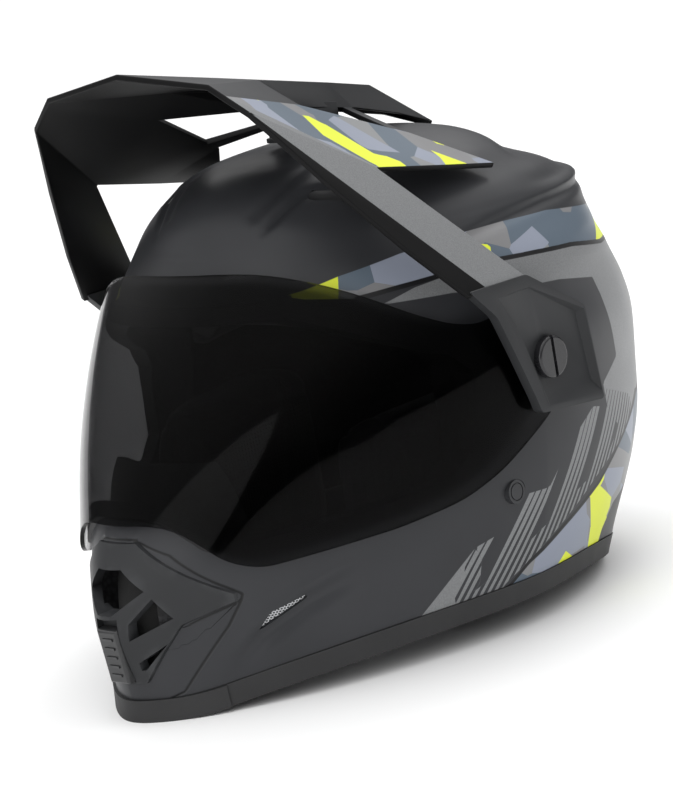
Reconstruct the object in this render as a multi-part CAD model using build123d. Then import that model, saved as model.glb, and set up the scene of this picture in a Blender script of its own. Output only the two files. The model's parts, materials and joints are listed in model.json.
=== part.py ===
from build123d import *
import os
from math import cos, sin, pi, copysign

# Dual sport helmet. Millimetres, front towards -Y, wearer's left towards +X, up +Z.

# Driving sizes of the shell
shell_half_width = 127
shell_height = 248
chin_reach = 180
rear_reach = 173
form_middle = 110
shell_wall = 4
edge_arch = 15
overrun = 60
floor_drop = 20

# Rows of the shell's form, from the bottom up: height, half width, widest place, front and rear reach
# as shares of shell_height, shell_half_width, rear_reach, chin_reach and rear_reach, then two powers
form_row_shares = [
    (0.000, 0.843, 0.023, 0.972, 0.769, 1.60, 2.10),
    (0.081, 0.890, 0.029, 0.978, 0.815, 1.50, 2.10),
    (0.242, 0.953, 0.046, 1.000, 0.954, 1.42, 2.15),
    (0.363, 0.984, 0.069, 0.917, 0.988, 1.60, 2.20),
    (0.484, 1.000, 0.081, 0.822, 1.000, 1.75, 2.20),
    (0.605, 0.992, 0.116, 0.722, 0.971, 1.85, 2.20),
    (0.685, 0.976, 0.145, 0.650, 0.908, 1.90, 2.20),
    (0.742, 0.953, 0.168, 0.594, 0.867, 1.95, 2.15),
    (0.790, 0.913, 0.185, 0.539, 0.855, 2.00, 2.15),
    (0.835, 0.874, 0.208, 0.483, 0.861, 2.05, 2.15),
    (0.895, 0.772, 0.231, 0.428, 0.647, 2.10, 2.10),
    (0.948, 0.646, 0.243, 0.356, 0.532, 2.10, 2.00),
    (0.970, 0.560, 0.240, 0.310, 0.487, 2.10, 2.00),
    (0.986, 0.455, 0.232, 0.235, 0.430, 2.05, 2.00),
    (0.995, 0.330, 0.220, 0.140, 0.375, 2.00, 2.00),
    (0.9985, 0.220, 0.210, 0.055, 0.325, 2.00, 2.00),
    (1.000, 0.110, 0.202, -0.030, 0.270, 2.00, 2.00),
]
form_points = 24
form_swell = 2.2

# Lower edge of the helmet seen from the side: place as a share of chin_reach, height of edge_arch
edge_shares = [(-0.94, 0.0), (-0.80, 0.27), (-0.61, 0.63), (-0.28, 0.93), (0.0, 1.0),
               (0.37, 0.84), (0.54, 0.38), (0.69, 0.0)]

# Eye opening and shield seen from the side, as shares of chin_reach and shell_height
port_shares = [(-1.20, 0.399), (-0.878, 0.399), (-0.822, 0.323), (-0.739, 0.296), (-0.411, 0.315),
               (-0.239, 0.339), (-0.150, 0.391), (-0.117, 0.565), (-0.183, 0.629), (-0.333, 0.685),
               (-0.489, 0.758), (-1.20, 0.774)]
shield_shares = [(-1.20, 0.391), (-0.889, 0.391), (-0.811, 0.302), (-0.744, 0.278), (-0.411, 0.298),
                 (-0.250, 0.318), (-0.139, 0.351), (0.039, 0.430), (0.170, 0.500), (0.170, 0.610),
                 (0.060, 0.670), (-0.128, 0.648), (-0.200, 0.661), (-0.283, 0.700), (-0.422, 0.782),
                 (-0.505, 0.820), (-1.20, 0.835)]
port_corner = 8
gasket_width = 8
gasket_proud = 2
gasket_depth = 8
shield_wall = 2.2
shield_standoff = 4
soft_gap = 0.3
seam = 0.15

# Side pivots that carry the shield and the peak
pivot_along = 7
pivot_height = 137
pivot_radius = 9
running_gap = 0.1
pivot_flange_radius = 13
pivot_flange_wall = 2.5
pivot_flange_inset = 7.6
pivot_proud = 0.5
screw_shank_radius = 3
screw_head_radius = 10.5
screw_head_height = 4.5
screw_gap = 0.05
screw_reach = 14
coin_slot_width = 2
coin_slot_depth = 1.6

# Peak: corners as shares of shell_half_width, chin_reach and shell_height
peak_corner_shares = {
    "lip_centre": (0.0, -0.617, 1.234), "deck_front": (0.0, -0.278, 1.181), "deck_middle": (0.0, 0.094, 1.121),
    "deck_rear": (0.0, 0.267, 1.093), "tail": (0.0, 0.567, 0.972),
    "lip_shoulder": (0.465, -0.600, 1.198), "edge_front": (0.252, -0.278, 1.169),
    "edge_middle": (0.110, 0.094, 1.117), "edge_rear": (0.087, 0.267, 1.089),
    "edge_tail": (0.024, 0.552, 0.973),
    "wall_middle": (0.134, -0.044, 1.084), "wall_rear": (0.110, 0.172, 1.053),
    "wall_tail": (0.055, 0.400, 1.010),
    "wing_front": (0.409, -0.244, 1.109), "wing_middle": (0.551, 0.056, 1.008),
    "wing_tip": (0.787, 0.194, 0.921), "lip_corner": (0.622, -0.572, 1.137),
    "side_front": (0.811, -0.283, 0.984), "side_middle": (0.803, -0.044, 0.952),
    "arm_front": (1.094, -0.239, 0.722), "arm_rear": (1.094, -0.011, 0.718),
}
peak_wall = 3
strut_shares = [(0.80, 0.96)]

# Peak housings over the pivots, seen from the side, as shares of chin_reach and shell_height
housing_shares = [(-0.239, 0.730), (-0.150, 0.665), (-0.100, 0.579), (-0.050, 0.488), (-0.033, 0.452),
                  (0.228, 0.431), (0.206, 0.627), (-0.011, 0.726)]
panel_shares = [(-0.122, 0.706), (-0.089, 0.645), (0.0, 0.488), (0.211, 0.472), (0.189, 0.617), (0.0, 0.702)]
housing_gap = 0.8
housing_wall = 2.6
housing_rim = 3
housing_corner = 2.5

# Screw under the peak's middle
top_screw_radius = 2.5
top_head_radius = 8
top_head_height = 4
boss_radius = 5
boss_proud = 2.7
boss_depth = 10
tongue_half_width = 15.5
tongue_half_length = 14
tongue_wall = 2.5
tongue_gap = 0.7
tongue_slot_half = 9
web_wall = 3
web_half_length = 11
web_height = 21

# Liners and pads
liner_gap = 0.3
liner_wall = 26
chin_liner_wall = 20
comfort_wall = 8
comfort_floor = 150
chin_liner_end = 62
chin_liner_top = 120
liner_lift = 3
pad_inner = 61
pad_front = 78
pad_rear = 42
pad_bottom = 28
pad_top = 122
pad_corner = 13
neck_roll_wall = 19
neck_roll_front = 48
neck_roll_bottom = 17
neck_roll_top = 46
guard_inset = 10
guard_wall = 2.5
guard_end = 125
guard_top = 118

# Edge trim
trim_height = 11
trim_wall = 6
trim_proud = 0.8
chin_trim_proud = 2
chin_trim_end = 150

# Chin vent: outlines seen from the front, as shares of shell_half_width and shell_height
vent_frame_shares = [(0.102, 0.355), (0.394, 0.234), (0.394, 0.218), (0.244, 0.190), (0.095, 0.081)]
vent_top_shares = [(0.063, 0.310), (0.150, 0.266), (0.039, 0.226)]
vent_side_shares = [(0.173, 0.250), (0.228, 0.206), (0.087, 0.173), (0.094, 0.206)]
vent_low_shares = [(0.197, 0.157), (0.094, 0.125), (0.094, 0.109), (0.110, 0.109)]
vent_frame_proud = 1.5
vent_duct_half = 20
vent_duct_bottom = 24
vent_duct_top = 80
vent_filter_inset = 13
vent_filter_wall = 1.5
slider_half_width = 7
slider_bottom = 21.5
slider_height = 28
slider_wall = 5.5
slider_travel = 5
slider_back = 176.3
slider_lean = 0.1
slider_gap = 0.3
slider_peg = 4
slider_corner = 1.5
slider_ribs = 5
slider_rib_height = 0.6
pillar_half_width = 10
pillar_depth = 5

# Side, brow and rear vents
side_vent_shares = [(-0.744, 0.145), (-0.717, 0.181), (-0.628, 0.200), (-0.622, 0.192)]
side_mesh_inset = 1.2
side_mesh_wall = 1.2
mesh_hole = 1.4
mesh_pitch = 2.4
brow_vent_across = 59
brow_vent_along = 42
brow_vent_length = 21
brow_vent_width = 7
brow_vent_turn = 36
exhaust_across = 38
exhaust_height = 190
exhaust_length = 34
exhaust_width = 9
exhaust_slots = 4
exhaust_slot_width = 3
insert_inset = 1
insert_wall = 2.6

# Chin strap
strap_along = -11
strap_width = 25
strap_wall = 1.8
strap_shares = [(0.680, 0.339), (0.680, 0.250), (0.625, 0.117), (0.598, 0.056), (0.472, 0.020)]
strap_free_end = 2
strap_lie = 5
rivet_height = 73
rivet_cap_radius = 6
rivet_face_inset = 7.2
rivet_cap_proud = 1.3
rivet_cap_depth = 6
rivet_cap_groove = 0.6
rivet_shank_radius = 3
rivet_washer_radius = 7
rivet_washer_wall = 2
ring_wire_radius = 2
ring_eye_wall = 1.2
ring_inner_along = 35
ring_outer_along = 41
ring_inner_reach = 17
ring_outer_reach = 28
ring_inner_half = 15
ring_outer_half = 20.5
ring_outer_lift = 2
ring_outer_turn = 10
snap_radius = 6
snap_height = 2.4


def side_points(shares):
    """Points seen from the side, from shares of the chin's reach and of the shell's height."""
    return [(along * chin_reach, height * shell_height) for along, height in shares]


def front_points(shares):
    """Points seen from the front, from shares of the shell's half width and height."""
    return [(across * shell_half_width, height * shell_height) for across, height in shares]


def both_sides(points):
    """A closed outline from the points of its left half, from the top down."""
    return points + [(-across, height) for across, height in reversed(points)]


def outline(points):
    """A closed face through the points."""
    return make_face(Polyline(*points, close=True))


def rounded(points, radius):
    """A closed face through the points with rounded corners."""
    face = outline(points)
    return fillet(face.vertices(), radius)


def side_prism(face):
    """A solid across the helmet from a face drawn as seen from the side."""
    return extrude(Plane.YZ * face, amount=shell_half_width + overrun, both=True)


def front_prism(face):
    """A solid from the helmet's middle forwards, from a face drawn as seen from the front."""
    return extrude(Plane.XZ * face, amount=chin_reach + overrun)


def span(x0, x1, y0, y1, z0, z1):
    """A box between two corners."""
    return Pos((x0 + x1) / 2, (y0 + y1) / 2, (z0 + z1) / 2) * Box(x1 - x0, y1 - y0, z1 - z0)


def rod(radius, x0, x1, along, height):
    """A round rod across the helmet from x0 to x1."""
    return Pos((x0 + x1) / 2, along, height) * Rot(0, 90, 0) * Cylinder(radius, abs(x1 - x0))


def mirrored(piece):
    """The same piece on the wearer's right."""
    return mirror(piece, about=Plane.YZ)


def whole_form():
    """The closed body of the helmet's outer face, lofted through its rows."""
    wires = []
    for row in [form_row_shares[0]] + form_row_shares:
        height, width, middle, front, rear, front_power, rear_power = row
        z = height * shell_height if wires else -floor_drop
        points = []
        for step in range(form_points):
            turn = 2 * pi * step / form_points + pi
            ahead, aside = cos(turn), sin(turn)
            power = front_power if ahead > 0 else rear_power
            reach = front * chin_reach + middle * rear_reach
            if ahead <= 0:
                reach = (rear - middle) * rear_reach
            x = width * shell_half_width * copysign(abs(aside) ** (2 / power), aside)
            y = middle * rear_reach - copysign(abs(ahead) ** (2 / power), ahead) * reach
            points.append((x, y, z))
        wires.append(Wire([Edge.make_spline(points, periodic=True)]))
    return Solid.make_loft(wires)


forms = {0: whole_form()}


def form(inset=0):
    """The helmet's outer body drawn in by inset on every side."""
    if inset not in forms:
        rise = shell_height - form_middle
        shares = (1 - inset / shell_half_width, 1 - inset / chin_reach, 1 - inset / rise)
        forms[inset] = Pos(0, 0, form_middle) * scale(Pos(0, 0, -form_middle) * forms[0], by=shares)
    return forms[inset]


def below_edge(lift):
    """Everything under the helmet's lower edge raised by lift."""
    line = [(along * chin_reach, height * edge_arch + lift) for along, height in edge_shares]
    front, rear = -chin_reach - overrun, rear_reach + overrun
    edge = Spline(*line, tangents=((1, 0), (1, 0)))
    floor = Polyline(line[-1], (rear, lift), (rear, -overrun), (front, -overrun), (front, lift), line[0])
    return side_prism(make_face(edge + floor))


def solid_of(triangles):
    """A solid closed by flat triangles."""
    faces = [Face(Wire.make_polygon([Vector(*corner) for corner in triangle])) for triangle in triangles]
    return Solid(Shell(faces))


def thick_sheet(corners, cells, wall):
    """A folded sheet of the given wall, from named corners and cells of three or four of them."""
    triangles = []
    for cell in cells:
        for middle, last in zip(cell[1:], cell[2:]):
            triangles.append((cell[0], middle, last))
    normals = {name: Vector(0, 0, 0) for name in corners}
    for a, b, c in triangles:
        normal = (corners[b] - corners[a]).cross(corners[c] - corners[a])
        for name in (a, b, c):
            normals[name] = normals[name] + normal
    inner = {name: corners[name] - normals[name].normalized() * wall for name in corners}
    sides = {}
    for a, b, c in triangles:
        for edge in ((a, b), (b, c), (c, a)):
            sides[edge] = True
    faces = []
    for a, b, c in triangles:
        faces.append((corners[a], corners[b], corners[c]))
        faces.append((inner[a], inner[c], inner[b]))
    for a, b in sides:
        if (b, a) not in sides:
            faces.append((corners[a], inner[a], inner[b]))
            faces.append((corners[a], inner[b], corners[b]))
    return solid_of(faces)


pieces = {}

# Shell
port_face = rounded(side_points(port_shares), port_corner)
port = side_prism(port_face)
shell = form() - form(shell_wall) - below_edge(trim_height + seam) - port

# Openings cut through the shell
frame_points = both_sides(front_points(vent_frame_shares))
frame_face = outline(frame_points)
frame_prism = front_prism(frame_face)
vent_window = front_prism(offset(frame_face, amount=seam))
side_vent_face = outline(side_points(side_vent_shares))
brow_place = Pos(brow_vent_across, -brow_vent_along) * Rot(0, 0, brow_vent_turn)
brow_face = brow_place * SlotOverall(brow_vent_length, brow_vent_width)
brow_cut = Pos(0, 0, shell_height - overrun) * extrude(brow_face, amount=2 * overrun)
exhaust_face = Pos(exhaust_across, exhaust_height) * SlotOverall(exhaust_length, exhaust_width)
exhaust_cut = extrude(Plane.XZ * exhaust_face, amount=-(rear_reach + overrun))
pivot_hole = rod(pivot_radius + seam, 0, shell_half_width + overrun, pivot_along, pivot_height)
rivet_hole = rod(rivet_cap_radius + seam, 0, shell_half_width + overrun, strap_along, rivet_height)
boss_top = shell_height + boss_proud
boss_hole = Pos(0, pivot_along, shell_height) * Cylinder(boss_radius + seam, 2 * overrun)
shell = shell - vent_window - side_prism(side_vent_face) - boss_hole
for cut in (brow_cut, exhaust_cut, pivot_hole, rivet_hole):
    shell = shell - cut - mirrored(cut)
pieces["outer_shell"] = shell

# Eyeport gasket and shield
ring_face = port_face - offset(port_face, amount=-gasket_width)
pieces["eyeport_gasket"] = (form(-gasket_proud) & side_prism(ring_face)) - form(gasket_depth)
shield_face = rounded(side_points(shield_shares), port_corner)
shield_outer = shield_standoff + shield_wall
shield = (form(-shield_outer) & side_prism(shield_face)) - form(-shield_standoff)
shield_hole = rod(pivot_radius + running_gap, 0, shell_half_width + overrun, pivot_along, pivot_height)
pieces["shield"] = shield - shield_hole - mirrored(shield_hole)
shield_face_at = shell_half_width + shield_outer + form_swell

# Shield pivots: a flange inside the shell and a boss through the shell and the shield
flange_outer = shell_half_width - pivot_flange_inset
boss_outer = shield_face_at + pivot_proud
pivot = rod(pivot_radius, flange_outer - pivot_flange_wall, boss_outer, pivot_along, pivot_height)
pivot += rod(pivot_flange_radius, flange_outer - pivot_flange_wall, flange_outer, pivot_along, pivot_height)
pivot -= rod(screw_shank_radius + screw_gap, 0, shell_half_width + overrun, pivot_along, pivot_height)
pieces["shield_pivot_left"] = pivot
pieces["shield_pivot_right"] = mirrored(pivot)

# Shock-absorbing liners
liner_outer = shell_wall + liner_gap
liner_inner = liner_outer + liner_wall
port_wide = side_prism(offset(port_face, amount=soft_gap))
liner_base = below_edge(trim_height + liner_lift)
chin_box = span(-shell_half_width - overrun, shell_half_width + overrun, -chin_reach - overrun, -chin_liner_end,
                -overrun, chin_liner_top)
liner_body = form(liner_outer) - liner_base - port_wide
eps_liner = liner_body - form(liner_inner) - chin_box
flange_room = rod(pivot_flange_radius + soft_gap, flange_outer - pivot_flange_wall - soft_gap,
                  shell_half_width, pivot_along, pivot_height)
rivet_room = rod(rivet_shank_radius + soft_gap, 0, shell_half_width, strap_along, rivet_height)
cap_outer = shell_half_width - rivet_face_inset + rivet_cap_proud
cap_room = rod(rivet_cap_radius + soft_gap, cap_outer - rivet_cap_depth - soft_gap, shell_half_width,
               strap_along, rivet_height)
boss_room = Pos(0, pivot_along, shell_height) * Cylinder(boss_radius + soft_gap, 2 * (boss_depth + soft_gap))
rooms = [boss_room]
for room in (flange_room, rivet_room, cap_room):
    rooms += [room, mirrored(room)]
pieces["eps_liner"] = eps_liner - rooms
duct = span(-vent_duct_half, vent_duct_half, -chin_reach - overrun, 0, vent_duct_bottom, vent_duct_top)
chin_liner = (liner_body & chin_box) - form(liner_outer + chin_liner_wall) - duct
pieces["chin_liner"] = chin_liner - side_prism(offset(side_vent_face, amount=soft_gap))

# Comfort liner, cheek pads, neck roll and breath guard
comfort_outer = liner_inner + liner_gap
comfort_box = span(-shell_half_width, shell_half_width, -chin_reach, rear_reach, comfort_floor, shell_height)
crown_liner = (form(comfort_outer) - form(comfort_outer + comfort_wall)) & comfort_box
pieces["crown_liner"] = crown_liner - port_wide
strap_line = [(across * shell_half_width, height * shell_height) for across, height in strap_shares]


def strap_solid(line, wall, width):
    """A flat strap along a line drawn as seen from the front."""
    band = trace(Polyline(*line), line_width=wall)
    return Pos(0, strap_along, 0) * extrude(Plane.XZ * band, amount=width / 2, both=True)


strap_room = strap_solid(strap_line, strap_wall + 4 * soft_gap, strap_width + 4 * soft_gap)
washer_inner = strap_line[0][0] - strap_wall / 2 - rivet_washer_wall
washer_room = rod(rivet_washer_radius + soft_gap, washer_inner - soft_gap, shell_half_width,
                  strap_along, rivet_height)
pad = span(pad_inner, shell_half_width, -pad_front, pad_rear, pad_bottom, pad_top)
pad = fillet(pad.edges(), pad_corner) & form(comfort_outer)
pad = pad - strap_room - washer_room
pieces["cheek_pad_left"] = pad
pieces["cheek_pad_right"] = mirrored(pad)
roll_box = span(-shell_half_width, shell_half_width, neck_roll_front, rear_reach,
                neck_roll_bottom, neck_roll_top)
roll_hollow = Pos(0, 0, -neck_roll_bottom) * form(comfort_outer + neck_roll_wall)
pieces["neck_roll"] = (form(comfort_outer) & roll_box) - roll_hollow
guard_box = span(-shell_half_width, shell_half_width, -chin_reach, -guard_end, 0, guard_top)
guard = (form(guard_inset) & side_prism(port_face) & guard_box) - form(guard_inset + guard_wall)
pieces["breath_guard"] = guard

# Edge trim in two lengths
front_box = span(-shell_half_width - overrun, shell_half_width + overrun, -chin_reach - overrun,
                 -chin_trim_end, -overrun, shell_height)
rear_box = span(-shell_half_width - overrun, shell_half_width + overrun, seam - chin_trim_end,
                rear_reach + overrun, -overrun, shell_height)
trim_band = below_edge(trim_height) - below_edge(0) - form(trim_wall)
pieces["bottom_trim"] = form(-trim_proud) & trim_band & rear_box
pieces["chin_trim"] = form(-chin_trim_proud) & trim_band & front_box

# Chin vent: frame with openings, filter behind it and slider in front
vent_frame = (form(-vent_frame_proud) & frame_prism) - form(shell_wall)
pillar_top = slider_bottom + slider_height + slider_travel + slider_peg
pillar = span(-pillar_half_width, pillar_half_width, -chin_reach - overrun, pillar_depth - slider_back,
              vent_duct_bottom + soft_gap, pillar_top)
vent_frame += pillar & form(-vent_frame_proud)
vent_holes = [front_prism(outline(both_sides(front_points(vent_top_shares))))]
for shares in (vent_side_shares, vent_low_shares):
    hole = front_prism(outline(front_points(shares)))
    vent_holes += [hole, mirrored(hole)]
lean_start = slider_lean * slider_height / 2 - slider_back
lean = Plane(origin=(0, lean_start, slider_bottom), x_dir=(1, 0, 0), z_dir=(0, -1, -slider_lean))


def on_lean(half_width, low, high, back, front):
    """A block on the slider's leaning plane, between two heights along it."""
    return lean * span(-half_width, half_width, low, high, back, front)


slider_room = on_lean(slider_half_width + slider_gap, -slider_gap, slider_height + slider_travel + slider_gap,
                      -slider_gap, overrun)
peg_room = on_lean(slider_peg / 2 + slider_gap, slider_height / 2 - slider_peg / 2 - slider_gap,
                   slider_height / 2 + slider_peg / 2 + slider_travel + slider_gap, -overrun, 0)
pieces["chin_vent_frame"] = vent_frame - vent_holes - slider_room - peg_room
slider = on_lean(slider_half_width, 0, slider_height, 0, slider_wall)
front_faces = slider.faces().filter_by(Plane((0, 0, 0), z_dir=lean.z_dir)).sort_by(Axis.Y)
slider = fillet(front_faces[0].edges(), slider_corner)
rib_pitch = slider_height / (slider_ribs + 1)
for rib in range(slider_ribs):
    low = rib_pitch * (rib + 1) - slider_rib_height
    slider += on_lean(slider_half_width / 2, low, low + 2 * slider_rib_height,
                      slider_wall - slider_rib_height, slider_wall + slider_rib_height)
slider += on_lean(slider_peg / 2, slider_height / 2 - slider_peg / 2, slider_height / 2 + slider_peg / 2,
                  -pillar_depth, slider_gap)
pieces["chin_vent_slider"] = slider
filter_box = span(soft_gap - vent_duct_half, vent_duct_half - soft_gap, -chin_reach - overrun, 0,
                  vent_duct_bottom + soft_gap, vent_duct_top - soft_gap)
vent_filter = (form(vent_filter_inset) & filter_box) - form(vent_filter_inset + vent_filter_wall)
pieces["chin_vent_filter"] = vent_filter

# Side vent meshes: flat nets of square holes
mesh = (form(side_mesh_inset) & side_prism(offset(side_vent_face, amount=-seam)))
mesh = mesh - form(side_mesh_inset + side_mesh_wall)
mesh_left = mesh & span(0, shell_half_width + overrun, -chin_reach, 0, 0, shell_height)
box = mesh_left.bounding_box()
columns = int((box.max.Y - box.min.Y) / mesh_pitch)
rows = int((box.max.Z - box.min.Z) / mesh_pitch)
holes = []
for column in range(columns + 1):
    for row in range(rows + 1):
        spot = Pos(shell_half_width / 2, box.min.Y + column * mesh_pitch, box.min.Z + row * mesh_pitch)
        holes.append(spot * Box(shell_half_width, mesh_hole, mesh_hole))
mesh_left = mesh_left - holes
pieces["side_vent_mesh_left"] = mesh_left
pieces["side_vent_mesh_right"] = mirrored(mesh_left)

# Brow and rear vent inserts
brow_plan = SlotOverall(brow_vent_length - 2 * seam, brow_vent_width - 2 * seam)
brow_plug = extrude(brow_place * brow_plan, amount=shell_height + overrun)
brow_insert = (form(insert_inset) - form(insert_inset + insert_wall)) & brow_plug & comfort_box
pieces["brow_vent_left"] = brow_insert
pieces["brow_vent_right"] = mirrored(brow_insert)
exhaust_plug = extrude(Plane.XZ * (Pos(exhaust_across, exhaust_height)
                                   * SlotOverall(exhaust_length - 2 * seam, exhaust_width - 2 * seam)),
                       amount=-(rear_reach + overrun))
exhaust = (form(-insert_inset) - form(insert_wall - insert_inset)) & exhaust_plug
for slot in range(exhaust_slots):
    across = exhaust_across + (slot - (exhaust_slots - 1) / 2) * exhaust_length / (exhaust_slots + 1)
    exhaust -= span(across - exhaust_slot_width / 2, across + exhaust_slot_width / 2, 0, rear_reach + overrun,
                    exhaust_height - exhaust_width / 4, exhaust_height + exhaust_width / 4)
pieces["rear_exhaust_left"] = exhaust
pieces["rear_exhaust_right"] = mirrored(exhaust)

# Chin strap with its rivets and double rings
ring_eye = ring_wire_radius + running_gap
eye_radius = ring_eye + ring_eye_wall
inner_height = strap_lie
outer_height = strap_lie + ring_outer_lift


def bar(radius, across, height, width):
    """A round bar from front to back at the strap's place."""
    return Pos(across, strap_along, height) * Rot(90, 0, 0) * Cylinder(radius, width)


left_line = strap_line + [(ring_outer_along, strap_lie)]
strap_left = strap_solid(left_line, strap_wall, strap_width)
strap_left += bar(eye_radius, ring_inner_along, inner_height, strap_width)
strap_left += bar(eye_radius, ring_outer_along, outer_height, strap_width)
strap_left += span(ring_inner_along, ring_outer_along, strap_along - strap_width / 2,
                   strap_along + strap_width / 2, strap_lie - eye_radius, strap_lie + ring_wire_radius)
strap_left -= bar(ring_eye, ring_inner_along, inner_height, 2 * strap_width)
strap_left -= bar(ring_eye, ring_outer_along, outer_height, 2 * strap_width)
shank_room = rod(rivet_shank_radius + running_gap, 0, shell_half_width, strap_along, rivet_height)
pieces["strap_left"] = strap_left - shank_room
strap_right = strap_solid(strap_line + [(-strap_free_end, strap_lie)], strap_wall, strap_width) - shank_room
pieces["strap_right"] = mirrored(strap_right)


def strap_ring(reach, half):
    """A D-shaped wire ring around its straight bar."""
    bow = ThreePointArc((0, half), (-reach, 0), (0, -half))
    start = Plane(origin=bow @ 0, z_dir=bow % 0)
    ring = sweep(start * Circle(ring_wire_radius), path=bow)
    ring += Rot(90, 0, 0) * Cylinder(ring_wire_radius, 2 * half)
    for end in (-half, half):
        ring += Pos(0, end, 0) * Sphere(ring_wire_radius)
    return ring


pieces["d_ring_inner"] = Pos(ring_inner_along, strap_along, inner_height) * strap_ring(
    ring_inner_reach, ring_inner_half)
outer_place = Pos(ring_outer_along, strap_along, outer_height) * Rot(0, ring_outer_turn, 0)
pieces["d_ring_outer"] = outer_place * strap_ring(ring_outer_reach, ring_outer_half)
rivet = rod(rivet_cap_radius, cap_outer - rivet_cap_depth, cap_outer, strap_along, rivet_height)
groove = rod(rivet_cap_radius - rivet_washer_wall + rivet_cap_groove, cap_outer - rivet_cap_groove, cap_outer,
             strap_along, rivet_height)
groove -= rod(rivet_cap_radius - rivet_washer_wall, cap_outer - rivet_cap_groove, cap_outer,
              strap_along, rivet_height)
rivet = rivet - groove
rivet += rod(rivet_shank_radius, washer_inner, cap_outer - rivet_cap_depth, strap_along, rivet_height)
rivet += rod(rivet_washer_radius, washer_inner, washer_inner + rivet_washer_wall, strap_along, rivet_height)
pieces["strap_rivet_left"] = rivet
pieces["strap_rivet_right"] = mirrored(rivet)
snap = Pos(2 * snap_radius - strap_free_end, strap_along, strap_lie + strap_wall / 2 + snap_height / 2)
pieces["strap_snap"] = Pos(-2 * snap_radius, 0, 0) * snap * Cylinder(snap_radius, snap_height)

# Peak: one folded sheet with a strut on each side between its spine and its wing
wall_names = []
wing_names = []
corners = {}
for name, (across, along, height) in peak_corner_shares.items():
    corners[name] = Vector(across * shell_half_width, along * chin_reach, height * shell_height)
for count, (start, end) in enumerate(strut_shares):
    for place, share in (("front", start), ("rear", end)):
        wall_names.append(f"wall_{count}_{place}")
        wing_names.append(f"wing_{count}_{place}")
        wall_run = corners["wall_rear"] - corners["wall_middle"]
        wing_run = corners["wing_middle"] - corners["wing_front"]
        corners[wall_names[-1]] = corners["wall_middle"] + wall_run * share
        corners[wing_names[-1]] = corners["wing_front"] + wing_run * share
peak_cells = [
    ("lip_centre", "lip_shoulder", "edge_front", "deck_front"),
    ("deck_front", "edge_front", "edge_middle", "deck_middle"),
    ("deck_middle", "edge_middle", "edge_rear", "deck_rear"),
    ("deck_rear", "edge_rear", "edge_tail", "tail"),
    ("lip_shoulder", "wing_front", "edge_front"),
    ("wing_front", "wall_middle", "edge_front"),
    ("edge_front", "wall_middle", "edge_middle"),
    ("edge_middle", "wall_middle", *wall_names, "wall_rear", "edge_rear"),
    ("edge_rear", "wall_rear", "wall_tail", "edge_tail"),
    ("lip_shoulder", "lip_corner", "side_front", "wing_front"),
    ("side_front", "side_middle", "wing_middle", *reversed(wing_names), "wing_front"),
    ("wing_middle", "side_middle", "wing_tip"),
    ("lip_corner", "arm_front", "arm_rear", "side_front"),
]
for start in range(0, len(wall_names), 2):
    peak_cells.append((wall_names[start + 1], wall_names[start], wing_names[start], wing_names[start + 1]))
right_names = {name: name if corner.X == 0 else name + "_right" for name, corner in corners.items()}
right_cells = [[right_names[name] for name in (cell[0], *reversed(cell[1:]))] for cell in peak_cells]
for name, corner in list(corners.items()):
    corners[right_names[name]] = Vector(-corner.X, corner.Y, corner.Z)
peak = thick_sheet(corners, peak_cells + right_cells, peak_wall)

# Peak housings over the pivots, with a recessed panel each
housing_inner = shield_face_at + housing_gap
panel_face_at = housing_inner + housing_wall
housing_outer = panel_face_at + housing_rim
housing_plan = rounded(side_points(housing_shares), housing_corner)
panel_plan = rounded(side_points(panel_shares), housing_corner)
housing = Pos(housing_inner, 0, 0) * extrude(Plane.YZ * housing_plan, amount=housing_outer - housing_inner)
housing -= Pos(panel_face_at, 0, 0) * extrude(Plane.YZ * panel_plan, amount=2 * housing_rim)
peak = peak + housing + mirrored(housing)
screw_hole = rod(screw_shank_radius + running_gap, 0, shell_half_width + overrun, pivot_along, pivot_height)

# Tongue over the top screw, hung from the spine's walls by two webs
tongue_bottom = boss_top + tongue_gap
tongue_top = tongue_bottom + tongue_wall
tongue = span(-tongue_half_width, tongue_half_width, pivot_along - tongue_half_length,
              pivot_along + tongue_half_length, tongue_bottom, tongue_top)
slot_face = SlotOverall(2 * tongue_slot_half, 2 * (top_screw_radius + soft_gap))
slot_plan = Pos(0, pivot_along) * Rot(0, 0, 90) * slot_face
tongue -= Pos(0, 0, tongue_bottom) * extrude(slot_plan, amount=tongue_wall)
web = span(tongue_half_width - web_wall, tongue_half_width, pivot_along - web_half_length,
           pivot_along + web_half_length, tongue_bottom, tongue_bottom + web_height)
peak = peak + tongue + web + mirrored(web)
pieces["peak"] = peak - screw_hole - mirrored(screw_hole)

# Screws: two on the sides with a coin slot, one on top in a threaded insert
head_inner = panel_face_at + running_gap
head_outer = head_inner + screw_head_height
screw = rod(screw_head_radius, head_inner, head_outer, pivot_along, pivot_height)
rim = screw.faces().sort_by(Axis.X)[-1].edges()
screw = fillet(rim, screw_head_height / 3)
screw += rod(screw_shank_radius, head_inner - screw_reach, head_inner, pivot_along, pivot_height)
screw -= span(head_outer - coin_slot_depth, head_outer,
              pivot_along - coin_slot_width / 2, pivot_along + coin_slot_width / 2,
              pivot_height - screw_head_radius, pivot_height + screw_head_radius)
pieces["peak_screw_left"] = screw
pieces["peak_screw_right"] = mirrored(screw)
insert_length = boss_depth + boss_proud
insert = Pos(0, pivot_along, boss_top - insert_length / 2) * Cylinder(boss_radius, insert_length)
insert -= Pos(0, pivot_along, boss_top) * Cylinder(top_screw_radius + screw_gap, 2 * insert_length)
pieces["top_screw_insert"] = insert
head_bottom = tongue_top + tongue_gap
top_screw = Pos(0, pivot_along, head_bottom + top_head_height / 2) * Cylinder(top_head_radius, top_head_height)
top_screw = fillet(top_screw.faces().sort_by(Axis.Z)[-1].edges(), top_head_height / 3)
shank_length = head_bottom - boss_top + boss_depth
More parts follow.
